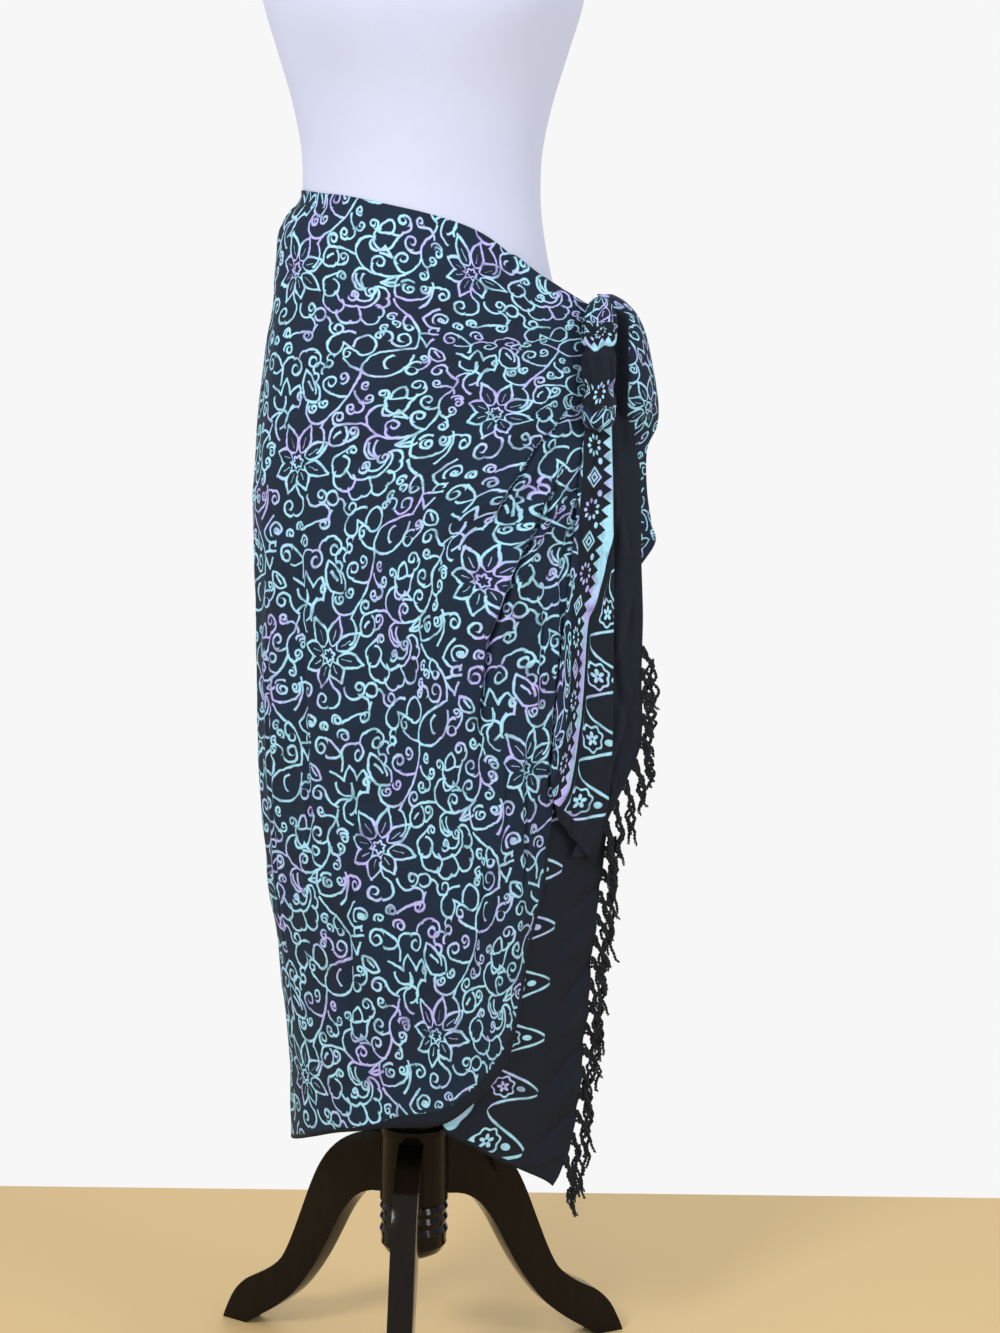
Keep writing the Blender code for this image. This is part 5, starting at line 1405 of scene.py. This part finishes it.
def printed_finish():
    # Rayon printed by the wax-resist way: a blue-black ground with warm patches, and lines left pale
    # by the wax, which took the dye unevenly and so run from aqua to lavender and vary in width.
    made, add = new_finish("batik printed rayon", Roughness=0.78, Sheen_Weight=0.03, Specular_IOR_Level=0.10)
    flat = add("VectorMath.MULTIPLY_ADD", add("UVMap.cloth"), (1000, 1000, 0), (-PRINT_AT[0], -PRINT_AT[1], 0))
    # a hand-held wax pen wavers about a millimetre every centimetre or so
    waver = add("TexNoise", {"Vector": flat, "Scale": 0.11, "Detail": 1.5}).node.outputs["Color"]
    place = add("VectorMath.MULTIPLY_ADD", waver, (3.4, 3.4, 0), flat)
    place = add("VectorMath.SUBTRACT", place, (1.7, 1.7, 0))
    nearest, home = nearest_arc(add, place)
    for lines in flower_lines(add, home):
        nearest = add("Math.MINIMUM", nearest, lines)

    # how wide the wax ran here
    spread = add("TexNoise", {"Vector": flat, "Scale": 0.045, "Detail": 2.0})
    width = add("Math.MULTIPLY_ADD", spread, 1.5, LINE - 0.75)
    scroll = add("Math.MULTIPLY_ADD", add("Math.SUBTRACT", width, nearest), SHARP, 0.5, use_clamp=True)
    from_hem, inward, _ = add(
        "SeparateXYZ", add("VectorMath.MULTIPLY", add("UVMap.edge"), (1000, 1000, 0))
    ).node.outputs
    inward = add("Math.ADD", inward, add("Math.MULTIPLY_ADD", spread, 3.0, -1.5))
    border = add("Math.SUBTRACT", add("Math.ADD", width, -0.15), border_lines(add, flat, inward))
    border = add("Math.MULTIPLY_ADD", border, SHARP, 0.5, use_clamp=True)
    inside = add("Math.MULTIPLY_ADD", inward, 1.0, -PRINT_EDGE, use_clamp=True)
    wax = add("Mix.FLOAT", {0: inside, 2: border, 3: scroll})
    plain = add(
        "Math.MULTIPLY",
        add("Math.MULTIPLY_ADD", from_hem, 0.8, -0.8 * HEM_BAND / MM, use_clamp=True),
        add("Math.MULTIPLY_ADD", inward, 0.8, -0.8 * PLAIN_BAND, use_clamp=True),
    )

    # colours: the ground's warm patches, and the lines' change from aqua to lavender
    warm = add("TexNoise", {"Vector": flat, "Scale": 0.022, "Detail": 3.0})
    warm = add("Math.MULTIPLY_ADD", warm, 5.0, -2.2, use_clamp=True)
    lilac = add("TexNoise", {"Vector": place, "Scale": 0.016, "Detail": 2.0})
    lilac = add("Math.MULTIPLY_ADD", lilac, 8.0, -3.95, use_clamp=True)
    dye = add("Mix.RGBA", {0: lilac, 6: linear("#9accdf"), 7: linear("#aba6de")})
    mottle = add("TexNoise", {"Vector": flat, "Scale": 0.35, "Detail": 2.0})
    worn = add("TexNoise", {"Vector": flat, "Scale": 0.05, "Detail": 3.0})
    faded = add(
        "Math.MULTIPLY", add("Math.MULTIPLY", wax, plain),
        add("Math.MULTIPLY_ADD", mottle, 0.5, 0.68, use_clamp=True),
    )
    faded = add("Math.MULTIPLY", faded, add("Math.MULTIPLY_ADD", worn, 2.6, -0.28, use_clamp=True))
    ground = add("Mix.RGBA", {0: warm, 6: linear("#162435"), 7: linear("#19202e")})
    ground = add("Mix.RGBA", {0: add("Math.MULTIPLY", plain, inside), 6: linear("#151a23"), 7: ground})
    colour = add("Mix.RGBA", {0: faded, 6: ground, 7: dye})
    return wired(made, Base_Color=colour, Normal=rayon_bump(add, flat))


def rayon_bump(add, flat):
    """Crinkle of soft cloth, and its plain weave drawn at 1.8 mm, coarser than the real 0.3 mm threads."""
    crinkle = add("TexNoise", {"Vector": flat, "Scale": 0.12, "Detail": 4.0, "Roughness": 0.55})
    warp, weft = (add("TexWave." + way, {"Vector": flat, "Scale": 0.175}).node.outputs["Fac"] for way in "XY")
    height = add("Math.MULTIPLY_ADD", add("Math.MULTIPLY", warp, weft), 0.06, crinkle)
    return add("Bump", {"Strength": 0.55, "Distance": 0.0028, "Height": height})


# ---------------------------------------------------------------- floor, camera and light
def build_floor():
    shape = bmesh.new()
    bmesh.ops.create_cube(shape, size=1.0)
    bmesh.ops.scale(shape, vec=(2.6, 1.85, 0.02), verts=shape.verts)
    bmesh.ops.translate(shape, vec=(0, -0.30, -0.0102), verts=shape.verts)
    mesh = bpy.data.meshes.new("floor")
    shape.to_mesh(mesh)
    shape.free()
    # Board under pale matt paint.
    mesh.materials.append(new_finish("pale painted board", Roughness=0.6, Base_Color=linear("#bfa472"))[0])
    floor = bpy.data.objects.new("floor", mesh)
    bpy.context.scene.collection.objects.link(floor)


def build_camera():
    """The camera stands 2.6 m off at chest height, tipped down and very slightly turned."""
    tilt, roll = radians(7.6), radians(0.7)
    forward = Vector((0, cos(tilt), -sin(tilt)))
    side, up = Vector((1, 0, 0)), Vector((0, sin(tilt), cos(tilt)))
    right = side * cos(roll) + up * sin(roll)
    above = up * cos(roll) - side * sin(roll)
    lens = bpy.data.cameras.new("camera")
    lens.sensor_fit = "VERTICAL"
    lens.sensor_height = 36
    lens.lens = lens.sensor_height * 2400 / 1333
    camera = bpy.data.objects.new("camera", lens)
    bpy.context.scene.collection.objects.link(camera)
    turn = Matrix((right, above, -forward)).transposed().to_4x4()
    camera.matrix_world = Matrix.Translation(POLE + Vector((0.0895, -2.6, 1.15))) @ turn
    bpy.context.scene.camera = camera


Lamp = namedtuple("Lamp", "name place size watts")
LAMPS = table(Lamp, (
    ("key", (-1.3, -2.2, 2.3), 0.8, 56),
    ("fill", (2.2, -1.6, 1.5), 0.8, 24),
    ("back", (0.4, 2.0, 2.2), 1.2, 10),
))
LAMPS_AIM = Vector((0, 0, 0.9))


def build_lights():
    """Three soft lamps in a pale room."""
    world = bpy.data.worlds.new("studio")
    world.use_nodes = True
    background = world.node_tree.nodes["Background"].inputs
    background["Color"].default_value = linear("#f7f7f7")
    background["Strength"].default_value = 1.0
    bpy.context.scene.world = world
    bpy.context.scene.view_settings.view_transform = "Standard"
    for row in LAMPS:
        lamp = bpy.data.lights.new(row.name, "AREA")
        lamp.shape = "DISK"
        lamp.size = row.size
        lamp.energy = row.watts
        light = bpy.data.objects.new(row.name, lamp)
        bpy.context.scene.collection.objects.link(light)
        light.location = POLE + Vector(row.place)
        light.rotation_euler = (LAMPS_AIM - Vector(row.place)).to_track_quat("-Z", "Y").to_euler()


def main():
    jersey, lacquer, steel, yarn = jersey_finish(), lacquer_finish(), steel_finish(), yarn_finish()
    printed = printed_finish()
    build_floor()
    build_dress_form(jersey)
    build_neck_cap(lacquer)
    build_stand(lacquer, steel)
    wrap = build_wrap(printed)
    inner = build_inner_end(printed)
    outer = build_outer_end(printed)
    tied = build_knot(printed)
    tail = build_loop(printed)
    inner_fringe = build_fringe("inner_fringe", inner_end_point, (54, 70), 0.7, ["fringe_inner_end"], yarn, 11)
    outer_fringe = build_fringe("outer_fringe", outer_end_point, (44, 50), 0.6, ["fringe_outer_end"], yarn, 23)
    build_camera()
    build_lights()


main()
